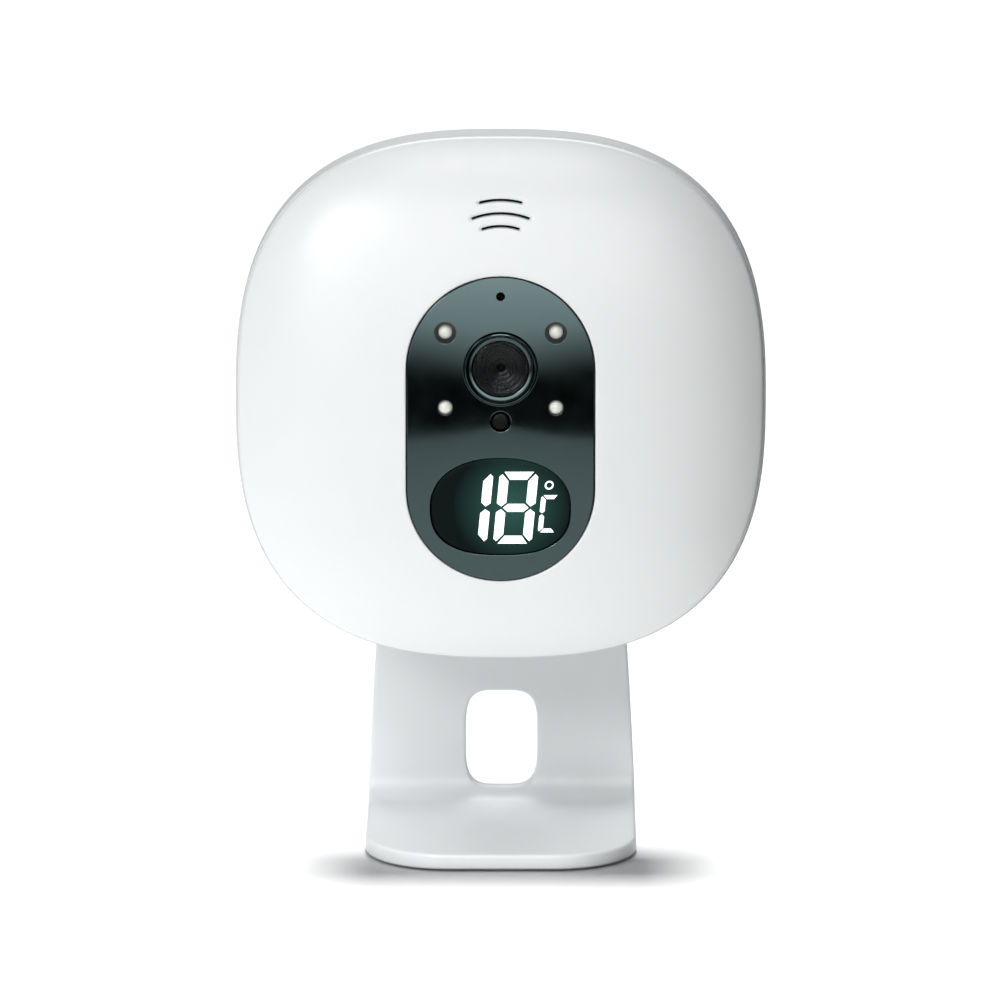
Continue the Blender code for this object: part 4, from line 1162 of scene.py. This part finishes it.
def lug(side):
    below, behind = -HINGE_BELOW / MM, -HINGE_BEHIND / MM
    outline = [(-7.0, -25.2)] + line((-7.0, -25.2), (below + EAR_RADIUS, behind), 6)
    outline += arc((below, behind), EAR_RADIUS, 0, -180, 28)
    outline += line((below - EAR_RADIUS, behind), (-31.0, -25.2), 6) + [(-31.0, -25.2)]
    outline = [(a * MM, b * MM) for a, b in outline[::-1]]
    low, high = sorted((side * EAR_INNER * MM, side * (EAR_INNER + EAR_THICK) * MM))
    skin = Skin()
    rows = [(grown(outline, -out), low + down) for out, down in rounding(0.6 * MM)]
    rows += [(grown(outline, -out), high - down) for out, down in reversed(rounding(0.6 * MM))]
    skin.capped(rows)
    mesh = skin.mesh("lug")
    mesh.transform(TO_SIDE)
    return mesh


def across(radius, start, end, steps=48):
    """A round cutter on the hinge's axis, in millimetres along x."""
    low, high = sorted((start, end))
    mesh = tool("across", circle(radius * MM, (-HINGE_BELOW, -HINGE_BEHIND), steps), low, high)
    mesh.transform(TO_SIDE)
    return mesh


# %% Housing, cut and shaded
def true_direction(x, up, front):
    """The outer shell's own direction, and how far from it a point is."""
    radius = plan_radius(x, up)
    depth = max(0.0, (-front - SIDE_DEPTH) / BACK_DEPTH)
    off = (radius / HEAD_HALF) ** BACK_PLAN_POWER + depth**BACK_POWER - 1
    radial = BACK_PLAN_POWER * radius ** (BACK_PLAN_POWER - 1) / HEAD_HALF**BACK_PLAN_POWER
    power = PLAN_POWER - 1
    plan = [math.copysign(abs(c) ** power, c) / max(radius, 1e-9) ** power for c in (x, up)]
    normal = Vector((radial * plan[0], radial * plan[1], -BACK_POWER * depth ** (BACK_POWER - 1) / BACK_DEPTH))
    return normal.normalized(), off


def shade_from_formula(mesh):
    """Gives the corners that lie on the outer shell its exact direction, and leaves the others alone."""
    mesh.shade_smooth()
    mesh.set_sharp_from_angle(angle=math.radians(35))
    normals = [tuple(n.vector) for n in mesh.corner_normals]
    exact = [true_direction(*v.co) for v in mesh.vertices]
    changed = 0
    for face in mesh.polygons:
        for corner in face.loop_indices:
            normal, off = exact[mesh.loops[corner].vertex_index]
            if abs(off) < 0.012 and normal.dot(face.normal) > 0.93:
                normals[corner] = tuple(normal)
                changed += 1
    mesh.normals_split_custom_set(normals)
    print("corners shaded by the formula:", changed)


def make_housing():
    shell = shell_skin().mesh("housing_shell")
    corners = [(x, y) for y in (SCREW_AT, -SCREW_AT) for x in (-SCREW_AT, SCREW_AT)]
    bay_middle = (-SIDE_X, (UPPER_ROW + LOWER_ROW) / 2)
    bosses = circles(corners, 4.3, -34, -6) + [tool("pad", rounded(20, 38, 4, bay_middle), -34, -22.4)]
    limit = Skin()
    rows = [(superellipse(half, 96), level) for half, level in back_line(0.7 * MM, 18)]
    limit.capped(rows + [(superellipse(HEAD_HALF - 0.7 * MM, 96), -2 * MM)])
    within = merged("limit", [limit.mesh("limit")])
    trimmed = merged("bosses", [combine(joined("bosses", bosses), [("INTERSECT", within)])])
    lugs = merged("lugs", [lug(-1), lug(1)])
    heads, narrow = circles(corners, 3.4, -34, -9.7), circles(corners, 1.75, -9.8, 0, 24)
    bay = tool("bay", rounded(16, 34, 3, bay_middle), -34, -24.4)
    for x, y, radius in (
        (-SIDE_X, UPPER_ROW, 4.3),
        (-SIDE_X, LOWER_ROW, 3.6),
        (SIDE_X, UPPER_ROW, 4.4),
        (SIDE_X, LOWER_ROW, 3.4),
    ):
        narrow += circles([(x, y)], radius, -34.5, -20)
    for side in (-1, 1):
        narrow.append(across(4.3, side * (EAR_INNER + EAR_THICK - 3.2), side * 40))
        narrow.append(across(2.25, side * 20, side * 39))
    cuts = [("DIFFERENCE", merged("vents", [vent_cutters()]))]
    groups = (heads, narrow, [bay])
    cuts += [("DIFFERENCE", merged(f"cut_{i}", group)) for i, group in enumerate(groups)]
    mesh = combine(shell, [("UNION", trimmed), ("UNION", lugs)] + cuts)
    obj = piece("housing_back_shell", mesh, grey_abs_with_painted_shade)
    shade_from_formula(mesh)
    mesh.transform(HEAD)
    return obj


settle(make_housing(), "head", "housing_shell", "rear_housing")

# %% [markdown]
# ## Buttons, screws and hinge ends
# The buttons are low domes with a rounded shoulder. The four housing screws are the same screw with a crossed
# recess, set on four points by one tree, and so are the foot's four pads.

# %% Buttons
for name, up, radius in (("power_button", UPPER_ROW, 4.1), ("pair_button", LOWER_ROW, 3.1)):
    top = back(plan_radius(SIDE_X * MM, up * MM) / HEAD_HALF) / MM + 0.9
    profile = [(0, -20.1), (1.8, -20.1), (1.8, -20.6), (radius + 1.2, -20.6), (radius + 1.2, -21.3)]
    profile += [(radius, -21.3), (radius, 0.6 - top)]
    profile += [(radius - 0.6 + 0.6 * math.cos(a), 0.6 - top - 0.6 * math.sin(a)) for a in np.linspace(0.2, 1.5, 6)]
    profile += [(radius * 0.7, -top - 0.02), (radius * 0.55, 0.05 - top), (radius * 0.3, 0.12 - top)]
    profile.append((0, 0.15 - top))
    button = piece(name + "_cap", turned(name, profile, 72), grey_abs_with_painted_shade, on_head(SIDE_X * MM, up * MM), 50)
    settle(button, name, "housing_shell", name)


# %% Repeated pieces
def repeated(name, mesh, places, finish):
    """Copies of one mesh on a few points, as one plain mesh."""
    source = bpy.data.objects.new(name + "_one", mesh)
    bpy.context.scene.collection.objects.link(source)
    tree, given = geometry_tree(name + "_set", {"One": source})
    shape = node(tree, "GeometryNodeObjectInfo", {"Object": given["One"]}).outputs["Geometry"]
    placed = node(tree, "GeometryNodeInstanceOnPoints", {"Points": given["Geometry"], "Instance": shape})
    finish_tree(tree, placed.outputs["Instances"], finish)
    points = bpy.data.meshes.new(name + "_points")
    points.from_pydata([tuple(c * MM for c in p) for p in places], [], [])
    made = grow(tree, points, {"One": source})
    bpy.data.objects.remove(source)
    return made


screw = [(0, -0.5), (1.0, -0.7), (1.45, -1.6), (1.45, -10.0), (2.9, -10.0), (2.9, -11.0), (2.6, -11.6)]
screw_mesh = turned("screw", screw + [(1.9, -12.0), (0, -12.15)], 40)
cross = [tool("cross", rounded(*size, 0.2, (0, 0)), -13, -11) for size in ((0.7, 3.0), (3.0, 0.7))]
screw_mesh = combine(screw_mesh, [("DIFFERENCE", merged(f"cross_{i}", [c])) for i, c in enumerate(cross)])
places = [(x, y, 0) for y in (SCREW_AT, -SCREW_AT) for x in (-SCREW_AT, SCREW_AT)]
screws = piece("housing_screws", repeated("housing_screw", screw_mesh, places, turned_steel), turned_steel, HEAD)
settle(screws, "head", "steel", *[f"housing_screw_{i + 1}" for i in range(4)])

FOOT_FRONT, FOOT_LIFT = -28.2, 0.4
pad = turned("pad", [(0, 1.1), (4.0, 1.1), (4.0, 0.25), (3.75, 0.0), (0, 0.0)], 56)
places = [(x, FOOT_FRONT + y, 0) for y in (9.5, 42.5) for x in (-20, 20)]
pads = piece("foot_pads", repeated("foot_pad", pad, places, foot_rubber), foot_rubber)
settle(pads, "stand", "rubber", *[f"foot_pad_{i + 1}" for i in range(4)])

# %% [markdown]
# ## The stand
# The stand is one strap of even thickness, bent once. It is drawn flat, as (x, along, down), with its rounded
# edges and its cable hole, and then every point is carried round the bend. The hole is cut straight through from
# front to back, so its lower edge meets the two faces of the strap at different places along it.

# %% Strap
STRAP_THICK, BEND_RADIUS, UPRIGHT_Y = 3.4 * MM, 5.0 * MM, 24.8 * MM
FOOT_HALF, FOOT_CORNER = 59.3 * MM / 2, 18.2 * MM
FOOT_TOP = FOOT_LIFT * MM + STRAP_THICK
BEND_START = UPRIGHT_Y - BEND_RADIUS - FOOT_FRONT * MM
BEND_LENGTH = BEND_RADIUS * math.pi / 2
BEND_Z = FOOT_TOP + BEND_RADIUS
STRAP_END = HINGE.z - 0.8 * MM
HOLE_UP, HOLE_HALF_WIDTH, HOLE_HALF_HEIGHT = 17.1 * MM, 7.9 * MM, 10.85 * MM
EDGE_ROUND = 0.7 * MM


def strap_half(z):
    rise = max(z - 5 * MM, 0.0)
    return FOOT_HALF - (0.083 * rise + 0.7 * rise**2) / 2


def bend(x, along, down):
    """Carries a point of the flat strap to its place on the bent one."""
    if along <= BEND_START:
        return (x, FOOT_FRONT * MM + along, FOOT_TOP - down)
    if along <= BEND_START + BEND_LENGTH:
        a, radius = (along - BEND_START) / BEND_RADIUS, BEND_RADIUS + down
        return (x, UPRIGHT_Y - BEND_RADIUS + radius * math.sin(a), BEND_Z - radius * math.cos(a))
    return (x, UPRIGHT_Y + down, BEND_Z + along - BEND_START - BEND_LENGTH)


def along_at(z, down):
    """How far along the strap its face, down below the front one, is at height z."""
    if z >= BEND_Z:
        return BEND_START + BEND_LENGTH + z - BEND_Z
    return BEND_START + BEND_RADIUS * math.acos(min(1.0, (BEND_Z - z) / (BEND_RADIUS + down)))


def strap_outline():
    right = arc((FOOT_HALF - FOOT_CORNER, FOOT_CORNER), FOOT_CORNER, -90, 0, 24)
    right += line((FOOT_HALF, FOOT_CORNER), (FOOT_HALF, BEND_START), 18)
    count = 60
    for i in range(count + 1):
        along = BEND_START + (along_at(STRAP_END, 0) - BEND_START) * i / count
        right.append((strap_half(bend(0, along, 0)[2]), along))
    left = [(-x, along) for x, along in right[::-1]]
    top = line(right[-1], left[0], 24)
    bottom = line(left[-1], right[0], 12)
    return right + top + left + bottom


def make_stand():
    skin = Skin()
    outline = strap_outline()
    rows = [(grown(outline, -out), down) for out, down in rounding(EDGE_ROUND)]
    rows += [(grown(outline, -out), STRAP_THICK - down) for out, down in reversed(rounding(EDGE_ROUND))]
    outer, under = skin.rings(rows)
    hole = [(x, z + HOLE_UP) for x, z in superellipse(HOLE_HALF_WIDTH, 120, 4, HOLE_HALF_HEIGHT)]

    def hole_row(out, down):
        return ([(x, along_at(z, down)) for x, z in grown(hole, out)], down)

    rows = [hole_row(out, down) for out, down in rounding(EDGE_ROUND)]
    rows += [hole_row(0, EDGE_ROUND + (STRAP_THICK - 2 * EDGE_ROUND) * k / 4) for k in (1, 2, 3)]
    rows += [hole_row(out, STRAP_THICK - down) for out, down in reversed(rounding(EDGE_ROUND))]
    hole_top, hole_under = skin.rings(rows)
    skin.fill(outer, [hole_top], 0.0, 0.9 * MM)
    skin.fill(under, [hole_under], STRAP_THICK, 0.9 * MM)
    skin.points = [bend(*p) for p in skin.points]
    strap = skin.mesh("strap")
    barrel = [(2.2, -BARREL_HALF), (6.1, -BARREL_HALF), (6.4, 0.12 - BARREL_HALF), (6.5, 0.4 - BARREL_HALF)]
    barrel += [(r, -level) for r, level in barrel[::-1]]
    barrel = turned("barrel", barrel, 96, True)
    barrel.transform(Matrix.Translation(HINGE) @ Matrix.Rotation(math.pi / 2, 4, "Y"))
    mesh = combine(strap, [("UNION", merged("barrel", [barrel]))])
    return piece("bent_strap_stand", mesh, stand_abs, None, 50)


stand = settle(make_stand(), "stand", "stand_shell", "stand")
foot_light = softbox("foot_light", (-0.3, -0.55, 0.6), (0.2, 0.2), 1.7, (0, 0, 0.02))
foot_light.light_linking.receiver_collection = linked("stand_alone", stand)

# The floor's light has a small board in its beam, which gives the foot its soft round shadow. Nothing but that
# board and the stand stops this light, so the head leaves no shadow beside the foot.
BOARD_SHARE = 0.25  # how far down the beam it hangs
SHADOW_HALF_X, SHADOW_HALF_Y, SHADOW_MIDDLE = 40.0 * MM, 14.5 * MM, Vector((1.3 * MM, -23.5 * MM, 0.0))
middle = FLOOR_LIGHT.lerp(SHADOW_MIDDLE, BOARD_SHARE)
half_x, half_y = SHADOW_HALF_X * BOARD_SHARE, SHADOW_HALF_Y * BOARD_SHARE
board_edge = lying(half_x, -half_y, half_y, 0.0)
shadow_board = rectangle("shadow_board", [tuple(middle + Vector(corner)) for corner in board_edge])
shadow_board.visible_camera = shadow_board.visible_diffuse = shadow_board.visible_glossy = False
floor_light = bpy.data.objects["floor_light"]
floor_light.light_linking.blocker_collection = linked("foot_shadow", stand, shadow_board)
